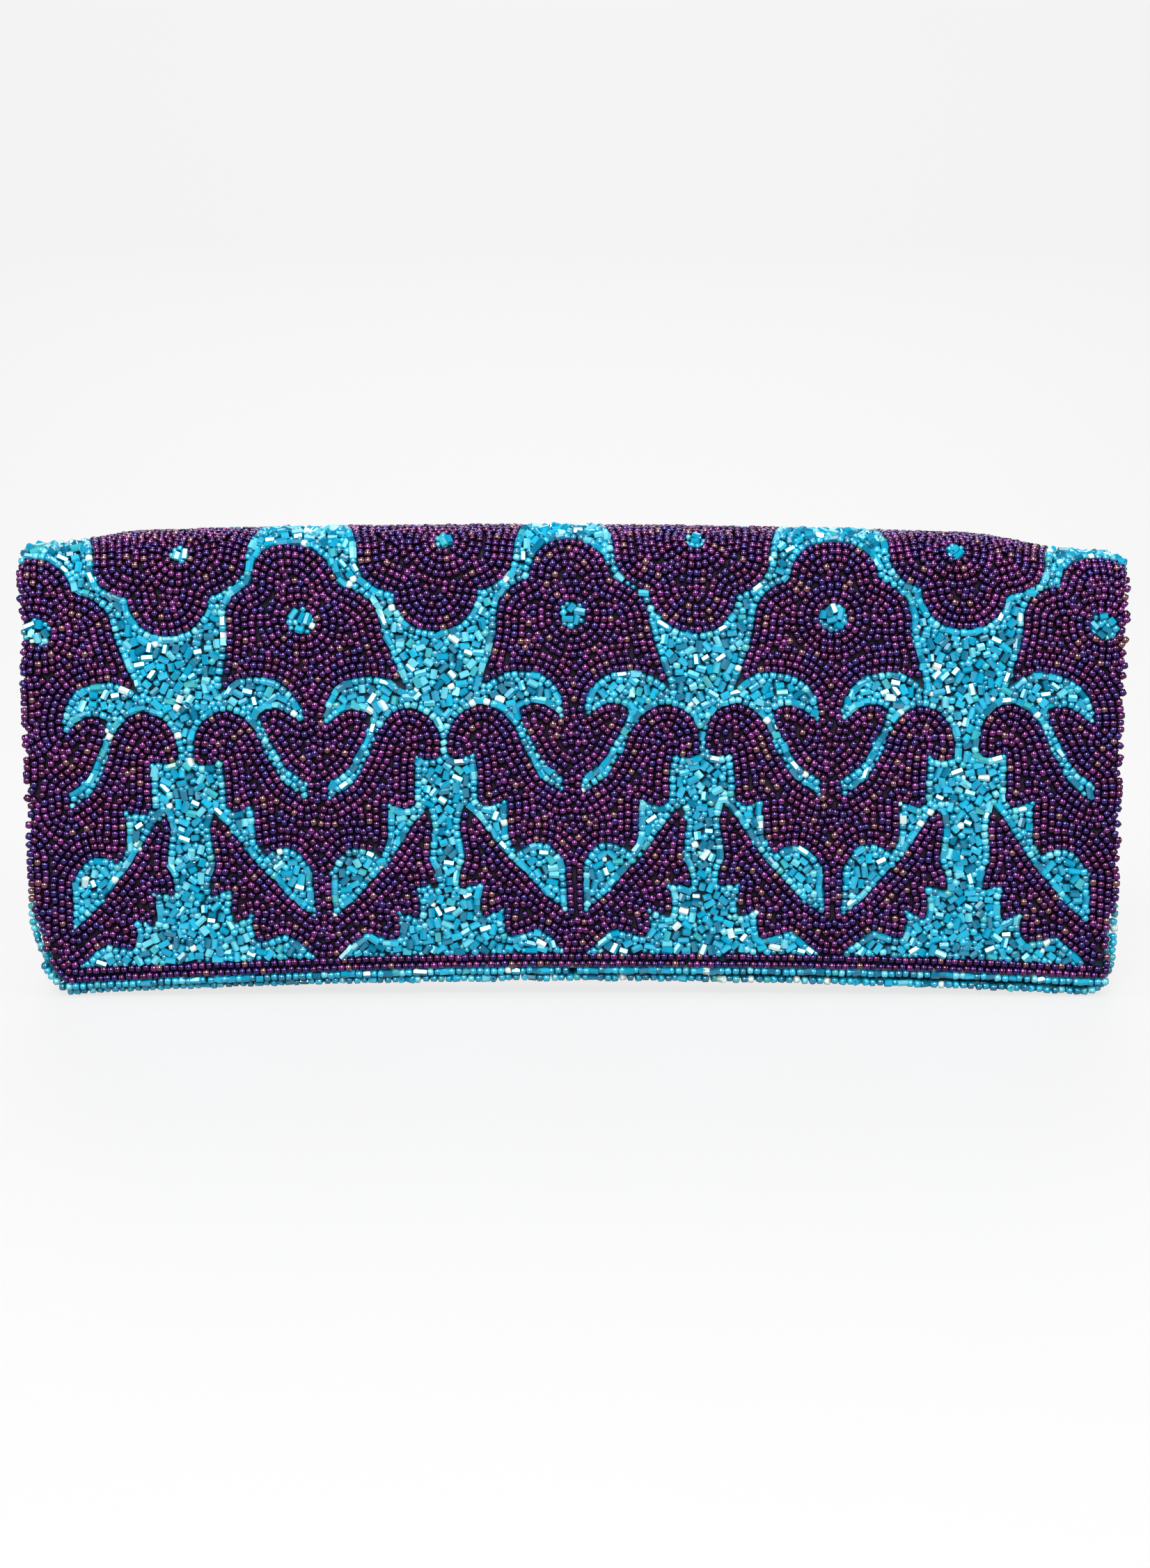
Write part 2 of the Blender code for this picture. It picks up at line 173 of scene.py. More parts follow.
# Softboxes: place, size, power
LIGHTS = {
    "front_softbox": ((0.0, -0.8, 0.5), (0.6, 0.4), 9.0),
    "key_lamp": ((-0.15, -0.7, 0.75), (0.22, 0.18), 3.0),
    "left_softbox": ((-0.75, -0.45, 0.35), (0.35, 0.35), 2.0),
    "right_softbox": ((0.75, -0.45, 0.35), (0.35, 0.35), 2.0),
    "top_softbox": ((0.0, -0.1, 0.9), (0.8, 0.4), 3.5),
    "back_softbox": ((0.0, 0.75, 0.6), (1.0, 0.5), 2.5),
}
WORLD_COLOUR = (0.97, 0.985, 1.0)
WORLD_LIGHT = 0.06
WORLD_SEEN = 0.92
LENS = 45.45
CAMERA_UP = 8.0  # degrees
CAMERA_AWAY = 0.5
CAMERA_AIM_X = 0.0004
CAMERA_AIM_DOWN = 0.0031  # the camera looks at a point this far below the purse's middle
# The backdrop as the camera sees it, and as the purse does
PAPER_SEEN = 0.11
PAPER_FELT = 0.3
GLOW_FRONT = 0.755
GLOW_BEHIND = 0.82

# Materials: the bead kinds, and how many of the beads each one gets
TURQUOISE = ("bead_aqua", "bead_sky", "bead_teal", "bead_frost", "bead_opal", "bead_foil")
TURQUOISE_SHARES = (0.37, 0.25, 0.2, 0.11, 0.05, 0.02)
PURPLE = ("bead_violet", "bead_plum", "bead_indigo", "bead_magenta", "bead_bronze")
PURPLE_SHARES = (0.4, 0.24, 0.14, 0.16, 0.06)
# The record's slots and the materials made for them
MATERIAL_OF = {
    "satin": "satin_turquoise",
    "lining_satin": "satin_lining",
    "fibre_board": "fibre_board",
    "nickel": "nickel_plate",
    "steel": "stamped_steel",
    "magnet": "magnet_black",
}
METALS = ("nickel", "steel", "magnet")

# Which part of the pattern a bead belongs to, unless it belongs to a plant, which has its own number
GROUND, BORDER, EDGE = -1, -2, -3

FOLD_STRIPS = ("fold_back", "fold_middle", "fold_front")
ZONES = 4  # the fold bends between each two of these bodies in one quarter of its turn


def rng_for(label):
    """A random generator of its own for each piece, so that a change to one leaves the others alone."""
    return np.random.default_rng([SEED, *label.encode()])


# ---------------------------------------------------------------- frame sizes and mesh pieces


def box_mm(node):
    """A CAD node's lowest and highest corners."""
    low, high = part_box(node)
    return np.array(low) / MM, np.array(high) / MM


class Sizes:
    """The CAD's own sizes, in millimetres, read from the frame's boxes."""

    def __init__(self):
        back_high = box_mm("back_beadwork")[1]
        cloth_high = box_mm("back_cloth")[1]
        lining_high = box_mm("back_lining")[1]
        snap_low, snap_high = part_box("snap_stud_washer")
        self.half_back = back_high[0]
        self.half_flap = box_mm("flap_beadwork")[1][0]
        self.half_cloth = cloth_high[0]
        self.half_lining = lining_high[0]
        self.tip = back_high[1]
        self.bead_r = self.tip - BEAD_R - BEAD_SUNK
        self.cloth_r = (cloth_high[1] + self.tip - 2 * BEAD_R - 2 * BEAD_SUNK - CLOTH_T) / 2
        self.lining_r = lining_high[1]
        self.fold_z = box_mm("back_board")[1][2]
        self.top = box_mm("fold_middle_beadwork")[1][2]
        self.flap_z = box_mm("flap_border_beads")[0][2] + EDGING
        self.snap_z = (snap_low.z + snap_high.z) / 2 / MM
        self.front_v = self.fold_z - self.flap_z
        self.fold_v = math.pi * self.bead_r
        self.back_v = self.front_v + self.fold_v
        self.total_v = self.back_v + self.fold_z - MARGIN


def mesh_object(name, points, faces, materials, smooth=True):
    """A new object from points in millimetres."""
    mesh = bpy.data.meshes.new(name)
    mesh.from_pydata((np.asarray(points) * MM).tolist(), [], faces)
    if smooth:
        mesh.shade_smooth()
    return object_of(name, mesh, materials)


def object_of(name, mesh, materials):
    for material in materials:
        mesh.materials.append(bpy.data.materials[material])
    obj = bpy.data.objects.new(name, mesh)
    bpy.context.scene.collection.objects.link(obj)
    return obj


def grid_faces(rows, columns, flipped=False):
    """The faces between points that are listed row by row."""
    faces = []
    for i in range(rows - 1):
        for j in range(columns - 1):
            a = i * columns + j
            one, other = (a + 1, a + columns) if flipped else (a + columns, a + 1)
            faces.append((a, one, a + columns + 1, other))
    return faces


def thicken(obj, thickness):
    """Gives a sheet its thickness, away from the side that its faces look to."""
    solid = obj.modifiers.new("thickness", "SOLIDIFY")
    solid.thickness = thickness * MM
    solid.offset = -1


def stand_for(obj, slot, *nodes):
    """Hides the CAD nodes that a piece stands for. slot is not used."""
    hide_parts(*nodes)


# ---------------------------------------------------------------- flat pattern

# The right half of one plant, with its foot at the origin: each row is one smooth run between two corners
FLOWER = (
    ((0, 107.2), (4.4, 106.3), (7.8, 103.8), (10, 100.4), (10.8, 97.2)),
    ((10.8, 97.2), (14.8, 95.4), (17.8, 92.8), (19.3, 89.2), (19.7, 85), (20.9, 80), (22.6, 75),
     (24.2, 70.2)),
    ((24.2, 70.2), (20.5, 73.2), (16.5, 74.6), (12, 74.4), (8.2, 73.2), (5.2, 70.8), (3.2, 67), (2.6, 62)),
)
BUD = (
    ((2.5, 62), (5.5, 64.5), (8.5, 66.2), (11.5, 66.3), (14.2, 65.2)),
    ((14.2, 65.2), (13, 61), (10.5, 56.5), (8, 52), (5.6, 50), (3.5, 48.5), (2.0, 47.5)),
)
BIG_LEAF = (
    ((2, 43.5), (6, 46), (8.6, 48), (10.3, 50.7), (13.3, 56), (14.5, 59.3), (17, 63), (20, 65.6), (24, 66.6),
     (28, 65), (30.4, 62.4), (31.6, 59), (31.8, 54.6)),
    ((31.8, 54.6), (30, 53.6), (27.4, 53.6), (25, 54.5)),
    ((25, 54.5), (24.4, 50), (24.2, 42.5)),
    ((24.2, 42.5), (22.6, 41.4), (19.6, 41.8), (17, 43)),
    ((17, 43), (17, 38), (16.6, 33), (14.8, 29.2)),
    ((14.8, 29.2), (12.4, 30.8), (9.6, 31.6), (6.6, 31), (4.2, 28.6), (2, 25)),
)
LOWER_LEAF = (
    ((1.6, 13), (4.3, 15.4), (7.3, 17.8), (10.3, 20.9), (13.3, 24.3), (16.3, 27.4), (18.8, 30.6), (21, 33.6),
     (23.5, 37.2), (25.6, 39.8), (27.6, 41.5)),
    ((27.6, 41.5), (28.6, 37), (28, 32), (27.6, 28.2)),
    ((27.6, 28.2), (29, 24.8), (29.2, 21), (26.4, 21.4), (23.6, 21.6)),
    ((23.6, 21.6), (24.4, 17.5), (23.8, 13.4), (21, 14.4), (18.4, 15.4)),
    ((18.4, 15.4), (19, 12), (17.8, 8.2), (14.4, 8.6), (10.4, 9.8)),
    ((10.4, 9.8), (7.6, 8), (5, 5.8), (3, 3.9)),
)
STEM = (
    ((0, 66), (2.8, 64), (2.6, 45), (2.4, 28), (2.2, 16), (2.6, 10), (3.2, 6), (3.2, 3.9)),
    ((3.2, 3.9), (0, 3.9)),
)


def curve_through(run):
    """Points about 0.4 mm apart on the smooth curve through a run of points."""
    run = np.array(run, float)
    padded = np.vstack([2 * run[0] - run[1], run, 2 * run[-1] - run[-2]])
    points = []
    for a, b, c, d in zip(padded, padded[1:], padded[2:], padded[3:]):
        steps = max(2, int(np.hypot(*(c - b)) / 0.4))
        for t in np.arange(steps) / steps:
            cubic = (3 * b - a - 3 * c + d) * t**3
            square = (2 * a - 5 * b + 4 * c - d) * t**2
            points.append(0.5 * (2 * b + (c - a) * t + square + cubic))
    return points


def outline(runs):
    """A closed outline. Each run is one smooth curve, and two runs meet at a corner."""
    return np.array([p for run in runs for p in curve_through(run)])


def mirrored(shape):
    return shape[::-1] * (-1, 1)


def both_sides(runs):
    """The closed outline of a shape that is given by its right half, from top to bottom."""
    half = outline(runs)
    return np.vstack([half, mirrored(half)])


def raised(shape, height):
    return shape + (0, height)


def plant(stretch=0.0):
    """The outlines of one plant, with its foot at the origin, and its flower's centre."""
    flower = raised(both_sides(FLOWER), stretch)
    stem = both_sides(STEM)
    stem[:, 1] = np.where(stem[:, 1] > 40, stem[:, 1] + stretch, stem[:, 1])
    shapes = [flower, stem]
    for leaf, lifts in ((LOWER_LEAF, (0,)), (BIG_LEAF, (0, stretch)), (BUD, (0, stretch))):
        right = outline(leaf)
        for lift in sorted(set(lifts)):
            shapes += [raised(right, lift), raised(mirrored(right), lift)]
    return shapes, (0.0, FLOWER_UP + stretch)


def wobbled(points, lean, tall, phase, wide):
    """Bends a plant a little, as hand sewing does, so that no two are quite alike."""
    u, v = points[..., 0], points[..., 1]
    uneven = v > WOBBLE_FROM
    wobble = 0.5 * np.sin(v / 13 + phase) + 0.35 * np.sin(u / 7 + 2 * phase)
    rise = 0.4 * np.sin(u / 9 + phase)
    across = u * wide + lean * (v / FLOWER_UP) ** 2 + wobble * uneven
    return np.stack([across, np.where(v > PLANT_FOOT, v * tall, v) + rise * uneven], axis=-1)


class Pattern:
    """The flat pattern on a grid: signed distance to the plants' outlines, and which plant is where."""

    def __init__(self, size):
        self.size = size
        self.u = np.arange(-size.half_back - MARGIN, size.half_back + MARGIN, GRID)
        self.v = np.arange(-EDGING - MARGIN, size.total_v + MARGIN, GRID)
        shape = (len(self.u), len(self.v))
        self.purple = np.zeros(shape, bool)
        self.owner = np.full(shape, GROUND)
        self.outlines = []
        self.draw_plants()
        self.distance = self.signed_distance()

    def draw_plants(self):
        rng = rng_for("plants")
        places = [(plant(), DOT_R, axis, lean, tall, (0, 0), False) for axis, lean, tall in FRONT_PLANTS]
        for axis, shorter, dot_off in BACK_PLANTS:
            places.append((plant(BACK_STRETCH - shorter), BACK_DOT_R, axis, 0.0, 1.0, dot_off, True))
        dots = []
        for number, ((shapes, dot), radius, axis, lean, tall, dot_off, over_the_fold) in enumerate(places):
            phase, wide = rng.uniform(0, 6), rng.uniform(0.985, 1.01)
            turn = np.linspace(0, 2 * math.pi, 40, endpoint=False)
            ring = np.stack([np.cos(turn), np.sin(turn)], axis=-1) * radius + dot + dot_off
            for shape in shapes + [ring]:
                points = wobbled(shape, lean, tall, phase, wide) + (axis, 0)
                if over_the_fold:
                    points = points * (1, -1) + (0, self.size.total_v)
                if shape is ring:
                    dots.append(points)
                else:
                    self.draw(points, number)
        self.draw_outer_edges()
        for ring in dots:
            self.draw(ring, GROUND, erase=True)

    def draw_outer_edges(self):
        """Outside the stems of the two outermost plants on the front, the flap is purple up to its edge."""
        edge = self.size.half_back + MARGIN
        for number, side in ((0, -1), (len(FRONT_PLANTS) - 1, 1)):
            stem = abs(FRONT_PLANTS[number][0]) + 1
            corners = ((stem, PLANT_FOOT), (edge, PLANT_FOOT), (edge, FLOWER_UP), (stem, FLOWER_UP))
            strip = outline(tuple(zip(corners, corners[1:] + corners[:1])))
            self.draw(strip * (side, 1), number)

    def draw(self, points, number, erase=False):
        self.outlines.append(points)
        low, high = points.min(0) - 1, points.max(0) + 1
        i0, i1 = np.searchsorted(self.u, (low[0], high[0]))
        j0, j1 = np.searchsorted(self.v, (low[1], high[1]))
        if i0 >= i1 or j0 >= j1:
            return
        mask = inside(points, self.u[i0:i1], self.v[j0:j1])
        self.purple[i0:i1, j0:j1][mask] = not erase
        self.owner[i0:i1, j0:j1][mask] = number

    def signed_distance(self):
        """Positive inside a plant, negative outside, up to the reach."""
        far = np.full(self.purple.shape, PLANT_REACH)
        for points in self.outlines:
            step = np.roll(points, -1, axis=0) - np.roll(points, 1, axis=0)
            normal = np.stack([step[:, 1], -step[:, 0]], axis=-1)
            normal /= np.maximum(np.linalg.norm(normal, axis=1, keepdims=True), 1e-9)
            one, other = (self.at(self.purple, points + side * 0.3 * normal) for side in (1, -1))
            for u, v in points[one != other]:
                self.stamp(far, u, v, PLANT_REACH)
        return np.where(self.purple, far, -far)

    def at(self, values, points):
        """The grid's values at these points."""
        i = np.clip(((points[:, 0] - self.u[0]) / GRID + 0.5).astype(int), 0, len(self.u) - 1)
        j = np.clip(((points[:, 1] - self.v[0]) / GRID + 0.5).astype(int), 0, len(self.v) - 1)
        return values[i, j]

    def cell(self, u, v):
        """The grid's cell nearest to one place."""
        i = min(max(int((u - self.u[0]) / GRID + 0.5), 0), len(self.u) - 1)
        j = min(max(int((v - self.v[0]) / GRID + 0.5), 0), len(self.v) - 1)
        return i, j

    def stamp(self, field, u, v, reach):
        """Brings a field of distances up to date with one new place."""
        i, j = self.cell(u, v)
        cells = int(reach / GRID)
        i0, j0 = max(i - cells, 0), max(j - cells, 0)
        a, b = self.u[i0 : i + cells + 1], self.v[j0 : j + cells + 1]
        window = field[i0 : i + cells + 1, j0 : j + cells + 1]
        np.minimum(window, np.hypot(a[:, None] - u, b[None, :] - v), out=window)


def inside(points, us, vs):
    """Which points of a grid lie inside a closed outline."""
    mask = np.zeros((len(us), len(vs)), bool)
    a, b = points, np.roll(points, -1, axis=0)
    for j, v in enumerate(vs):
        hit = (a[:, 1] > v) != (b[:, 1] > v)
        p, q = a[hit], b[hit]
        cross = np.sort(p[:, 0] + (v - p[:, 1]) * (q[:, 0] - p[:, 0]) / (q[:, 1] - p[:, 1]))
        mask[:, j] = np.searchsorted(cross, us) % 2 == 1
    return mask


def corner_depth(side, up, corners, u):
    """Distance to a rounded edge from a point that is side and up inside the straight edges."""
    width, height, power = (np.where(u < 0, left, right) for left, right in zip(*corners))
    a, b = np.clip(1 - side / width, 0, None), np.clip(1 - up / height, 0, None)
    reach = np.maximum((a**power + b**power) ** (1 / power), 1e-6)
    slope = np.hypot((a / reach) ** (power - 1) / width, (b / reach) ** (power - 1) / height)
    rounded = (1 - reach) / np.maximum(slope, 1e-6)
    return np.where((a > 0) & (b > 0), rounded, np.minimum(side, up))


def flap_narrowing(u, up):
    """How much narrower the flap is at this height above its lower edge."""
    return np.where(u < 0, *FLAP_NARROW) * ramp(-up, -NARROW_UP[0], -NARROW_UP[1])


def edge_distance(size, u, v):
    """How far a point of the flat pattern is inside the shell's own edge."""
    front = v < size.total_v / 2
    up = np.where(front, v, size.total_v - v)
    flap_side = size.half_flap + FLAP_HALF_MORE - flap_narrowing(u, up) - np.abs(u)
    body_side = size.half_back - np.abs(u)
    on_flap = corner_depth(flap_side, up, FLAP_CORNERS, u)
    return np.where(front, on_flap, corner_depth(body_side, up, BODY_CORNERS, u))


def corner_inset(up, corner):
    """How far a rounded lower corner has cut in at this height."""
    width, height, power = corner
    b = np.clip(1 - up / height, 0, 1)
    return width * (1 - (1 - b**power) ** (1 / power))


def contour_lines(field, level, us, vs):
    """Chains of points where a field on the grid crosses a level."""
    above = field > level
    links = {}
    points = {}

    def crossing(i, j, along_u):
        key = (i, j, along_u)
        if key not in points:
            k, l = (i + 1, j) if along_u else (i, j + 1)
            t = (level - field[i, j]) / (field[k, l] - field[i, j])
            du, dv = (t, 0) if along_u else (0, t)
            points[key] = (us[i] + du * GRID, vs[j] + dv * GRID)
        return key

    code = above[:-1, :-1] * 1 + above[1:, :-1] * 2 + above[1:, 1:] * 4 + above[:-1, 1:] * 8
    for i, j in np.argwhere((code > 0) & (code < 15)):
        i, j = int(i), int(j)
        corners = above[i, j], above[i + 1, j], above[i + 1, j + 1], above[i, j + 1]
        sides = ((i, j, True), (i + 1, j, False), (i, j + 1, True), (i, j, False))
        edges = [crossing(*side) for k, side in enumerate(sides) if corners[k] != corners[(k + 1) % 4]]
        for a, b in zip(edges[::2], edges[1::2]):
            links.setdefault(a, []).append(b)
            links.setdefault(b, []).append(a)
    return walk_chains(links, points)


def walk_chains(links, points):
    """Joins linked points into lines, open ones first."""
    chains = []
    seen = set()
    ends = [k for k, v in links.items() if len(v) == 1]
    for start in ends + list(links):
        if start in seen:
            continue
        chain = [start]
        seen.add(start)
        here = start
        while True:
            ahead = [k for k in links[here] if k not in seen]
            if not ahead:
                break
            here = ahead[0]
            seen.add(here)
            chain.append(here)
        closed = len(chain) > 2 and start in links[chain[-1]]
        line = np.array([points[k] for k in chain + ([start] if closed else [])])
        if len(line) > 2:
            chains.append(line)
    return chains


# ---------------------------------------------------------------- laying beads


class Layer:
    """Beads laid on the flat pattern. room is each grid cell's distance to the nearest bead so far."""

    REACH = 3.0

    def __init__(self, pattern, rng):
        self.pattern = pattern
        self.rng = rng
        self.room = np.full(pattern.purple.shape, self.REACH)
        self.rows = []

    def add(self, u, v, angle, kind, owner, half=0.0):
        self.rows.append((u, v, angle, kind, owner))
        for shift in (-half, 0.0, half) if half else (0.0,):
            at_u, at_v = u + shift * math.cos(angle), v + shift * math.sin(angle)
            self.pattern.stamp(self.room, at_u, at_v, self.REACH)

    def free(self, u, v, distance):
        return self.room[self.pattern.cell(u, v)] >= distance

    def along(self, line, kind_of, owner_of, allowed, tight):
        """Beads in a row along a chain of points."""
        step = np.hypot(*np.diff(line, axis=0).T)
        length = np.concatenate([[0], np.cumsum(step)])
        count = int(round(length[-1] / PITCH))
        if count < 1:
            return
        places = (np.arange(count) + 0.5) * length[-1] / count
        u, v = (np.interp(places, length, line[:, k]) for k in (0, 1))
        nose, tail = (np.clip(places + side * 0.8, 0, length[-1]) for side in (1, -1))
        du, dv = (np.interp(nose, length, line[:, k]) - np.interp(tail, length, line[:, k]) for k in (0, 1))
        shift = self.rng.normal(0, 0.09, (len(u), 2))
        angles = np.arctan2(dv, du) + self.rng.normal(0, 0.13, len(u))
        for a, b, angle in zip(u + shift[:, 0], v + shift[:, 1], angles):
            if allowed(a, b) and self.free(a, b, tight * PITCH):
                self.add(a, b, angle, kind_of(), owner_of(a, b))

    def scatter(self, mask, distance, kind, owner_of, allowed, half=0.0, share=1.0):
        """Beads in random places where the mask is true and there is still room."""
        p = self.pattern
        cells = np.argwhere(mask & (self.room >= distance))
        self.rng.shuffle(cells)
        cells = cells[: int(len(cells) * share)]
        jitter = self.rng.uniform(-0.5, 0.5, (len(cells), 2)) * GRID
        angles = self.rng.uniform(0, math.pi, len(cells))
        for (i, j), (du, dv), angle in zip(cells, jitter, angles):
            if self.room[i, j] < distance:
                continue
            u, v = p.u[i] + du, p.v[j] + dv
            if half:
                a, b = half * math.cos(angle), half * math.sin(angle)
                if not (self.free(u + a, v + b, distance) and self.free(u - a, v - b, distance)):
                    continue
                if not (mask[p.cell(u + a, v + b)] and mask[p.cell(u - a, v - b)]):
                    continue
            if allowed(u, v):
                self.add(u, v, angle, kind, owner_of(u, v), half)


def lay_beads(pattern):
    """Every bead of the flap, fold and back, as (u, v, angle, kind, owner) rows."""
    size = pattern.size
    rng = rng_for("beads")
    layer = Layer(pattern, rng)
    us, vs = np.meshgrid(pattern.u, pattern.v, indexing="ij")
    edge = edge_distance(size, us, vs)
    foot = np.minimum(vs, size.total_v - vs)
    border = (edge < BORDER_W) & (foot < BORDER_UP)
    near_foot = np.where(foot < BORDER_UP + 1, edge, BORDER_UP)

    def owner_at(u, v):
        return int(pattern.owner[pattern.cell(u, v)])

    def ground(u, v):
        return GROUND

    def in_field(u, v):
        cell = pattern.cell(u, v)
        return edge[cell] > EDGE_ROOM and not border[cell]

    def lay_line(field, level, kind_of, owner_of, allowed, tight=TIGHT, shortest=0.0):
        for line in contour_lines(field, level, pattern.u, pattern.v):
            if np.hypot(*np.diff(line, axis=0).T).sum() > shortest:
                layer.along(line, kind_of, owner_of, allowed, tight)

    def purple():
        return "purple"

    def turquoise():
        return "cut" if rng.random() < CUT_IN_ROW else "turquoise"

    for level in BORDER_ROWS:
        lay_line(near_foot, level, purple, lambda u, v: BORDER, lambda u, v: min(v, size.total_v - v) < 7.5)
    lay_line(near_foot, -EDGE_ROOM, turquoise, lambda u, v: EDGE, lambda u, v: v < 0)
    for number in range(PLANT_ROWS):
        lay_line(pattern.distance, (number + 0.5) * ROW, purple, owner_at, in_field)
    lay_line(pattern.distance, -0.5 * ROW, turquoise, ground, in_field, tight=0.76, shortest=25)
    layer.scatter(pattern.distance > 0.5 * ROW, PURPLE_ROOM, "purple", owner_at, in_field)
    open_ground = pattern.distance < -0.3 * ROW
    layer.scatter(open_ground, CUT_ROOM, "cut", ground, in_field, half=CUT_ARM, share=CUT_SHARE)
    layer.scatter(open_ground, TURQUOISE_ROOM, "turquoise", ground, in_field)
    layer.scatter(pattern.distance < -0.1 * ROW, SMALL_ROOM, "small", ground, in_field)
    return layer.rows


# ---------------------------------------------------------------- wrapping round the purse


def ramp(value, start, end):
    """Rises smoothly from 0 at start to 1 at end."""
    t = np.clip((value - start) / (end - start), 0, 1)
    return t * t * (3 - 2 * t)


def height_change(size, x, z):
    """How the purse's real outline differs from the straight CAD one: arched, with drooping shoulders."""
    from_end = size.half_back - np.abs(x)
    middle_rise = ARCH + (TOP_ARCH - ARCH) * np.clip(z / size.top, 0, 1)
    arch = middle_rise * (1 - (x / size.half_back) ** 2)
    droop, start, full = (np.where(x < 0, left, right) for left, right in zip(*SHOULDERS))
    shoulder = droop * ramp(-from_end, -start, -full) + TOP_TILT * x / size.half_back
    shoulder = shoulder * np.clip((z - DROOP_Z) / (size.top - DROOP_Z), 0, 1) ** 2
    end = END_DROP * np.clip((END_REACH - from_end) / END_REACH, 0, 1) ** 2
    return arch - shoulder - end * ramp(z, size.top - END_DOWN, size.top)


def shell(size, u, v, radius, lift=0.0):
    """World places (mm) and frames of points (u, v) on the shell, at a radius from the fold's centreline."""
    u, v = np.asarray(u, float), np.asarray(v, float)
    turn = np.clip((v - size.front_v) / size.fold_v, 0, 1) * math.pi
    over = np.clip(v - size.front_v - size.fold_v, 0, None)
    rise = np.clip(v, None, size.front_v)
    out = np.stack([np.zeros_like(u), -np.cos(turn), np.sin(turn)], axis=-1)
    up = np.stack([np.zeros_like(u), np.sin(turn), np.cos(turn)], axis=-1)
    wave = WAVE * np.sin(u / 19 + 1.3 * np.sin(v / 23)) * np.cos(v / 17 + 0.7 * np.sin(u / 31))
    level = radius + lift + wave * (1 - np.sin(turn))
    base = np.where(v <= size.front_v, size.flap_z + rise, size.fold_z - over)
    base = base + FLAP_TILT * u / size.half_back * np.clip(1 - v / size.front_v, 0, 1)
    place = out * level[:, None]
    place[:, 0] = u
    place[:, 2] += base
    place[:, 2] += height_change(size, place[:, 0], place[:, 2])
    return place, up, out


def bead_template(profile, sides):
    """Points and faces of one bead, with its hole along X."""
    points = [(profile[0][0], 0, 0)]
    for x, r in profile[1:-1]:
        for k in range(sides):
            a = 2 * math.pi * k / sides
            points.append((x, r * math.cos(a), r * math.sin(a)))
    points.append((profile[-1][0], 0, 0))
    faces = []
    rings = len(profile) - 2
    last = len(points) - 1
    for k in range(sides):
        n = (k + 1) % sides
        faces.append((0, 1 + n, 1 + k))
        for ring in range(rings - 1):
            a, b = 1 + ring * sides, 1 + (ring + 1) * sides
            faces.append((a + k, a + n, b + n, b + k))
        top = 1 + (rings - 1) * sides
        faces.append((last, top + k, top + n))
    return np.array(points), faces


ROUND_BEAD = bead_template(ROUND_PROFILE, 10)
CUT_BEAD = bead_template(CUT_PROFILE, 6)


def bead_object(name, places, axes, outs, kinds):
    """One mesh holding many beads of one colour. axes are the directions of their holes."""
    rng = rng_for(name)
    purple = kinds[0] == "purple"
    palette, shares = (PURPLE, PURPLE_SHARES) if purple else (TURQUOISE, TURQUOISE_SHARES)
    verts, faces, smooth, shade, owner = [], [], [], [], []
    offset = 0
    shades = rng.choice(len(palette), size=len(places), p=shares)
    for index, (place, axis, out, kind) in enumerate(zip(places, axes, outs, kinds)):
        points, template = CUT_BEAD if kind == "cut" else ROUND_BEAD
        radius, length = (BEAD_R * rng.uniform(*spread) for spread in ROUND_SPREAD)
        if kind == "small":
            radius, length = radius * SMALL[0], length * SMALL[1]
        if kind == "cut":
            radius, length = CUT_R * rng.uniform(*CUT_SPREAD[0]), CUT_HALF * rng.uniform(*CUT_SPREAD[1])
        side = np.cross(out, axis)
        roll = rng.uniform(0, math.pi)
        one = side * math.cos(roll) + out * math.sin(roll)
        two = out * math.cos(roll) - side * math.sin(roll)
        scaled = points * (length, radius, radius)
        verts.append(place + scaled @ np.array([axis, one, two]))
        faces += [tuple(offset + k for k in face) for face in template]
        smooth += [kind != "cut"] * len(template)
        shade += [shades[index]] * len(template)
        owner += [index] * len(points)
        offset += len(points)
    obj = mesh_object(name, np.vstack(verts), faces, palette, smooth=False)
    obj.data.polygons.foreach_set("use_smooth", smooth)
    obj.data.polygons.foreach_set("material_index", shade)
    return obj, np.array(owner)


def beads_on_shell(name, size, rows):
    """A bead mesh for some of the laid beads, and each vertex's v."""
    rng = rng_for(name + "_lift")
    u, v, angle = (np.array([row[k] for row in rows]) for k in range(3))
    kinds = [row[3] for row in rows]
    lift = rng.uniform(-LIFT, LIFT, len(rows))
    tilt = rng.normal(0, TILT, len(rows))
    loose = np.array([kind != "purple" for kind in kinds])
    lift = np.where(loose, lift * LOOSE_LIFT, lift)
    down = [SMALL_DOWN * (row[3] == "small") + EDGING_DOWN * (row[4] == EDGE) for row in rows]
    lift = lift - np.array(down)
    tilt = np.where(loose, tilt * LOOSE_TILT, tilt)
    places, up, out = shell(size, u, v, size.bead_r, lift)
    across = np.array([1.0, 0.0, 0.0])
    axes = across * np.cos(angle)[:, None] + up * np.sin(angle)[:, None]
    axes = axes + out * tilt[:, None]
    axes /= np.linalg.norm(axes, axis=1, keepdims=True)
    outs = out - axes * np.sum(out * axes, axis=1, keepdims=True)
    outs /= np.linalg.norm(outs, axis=1, keepdims=True)
    obj, owner = bead_object(name, places, axes, outs, kinds)
    return obj, v[owner]


def bend_over_fold(obj):
    """Bakes the transform of a piece in one quarter of the fold into its mesh."""
    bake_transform(obj)


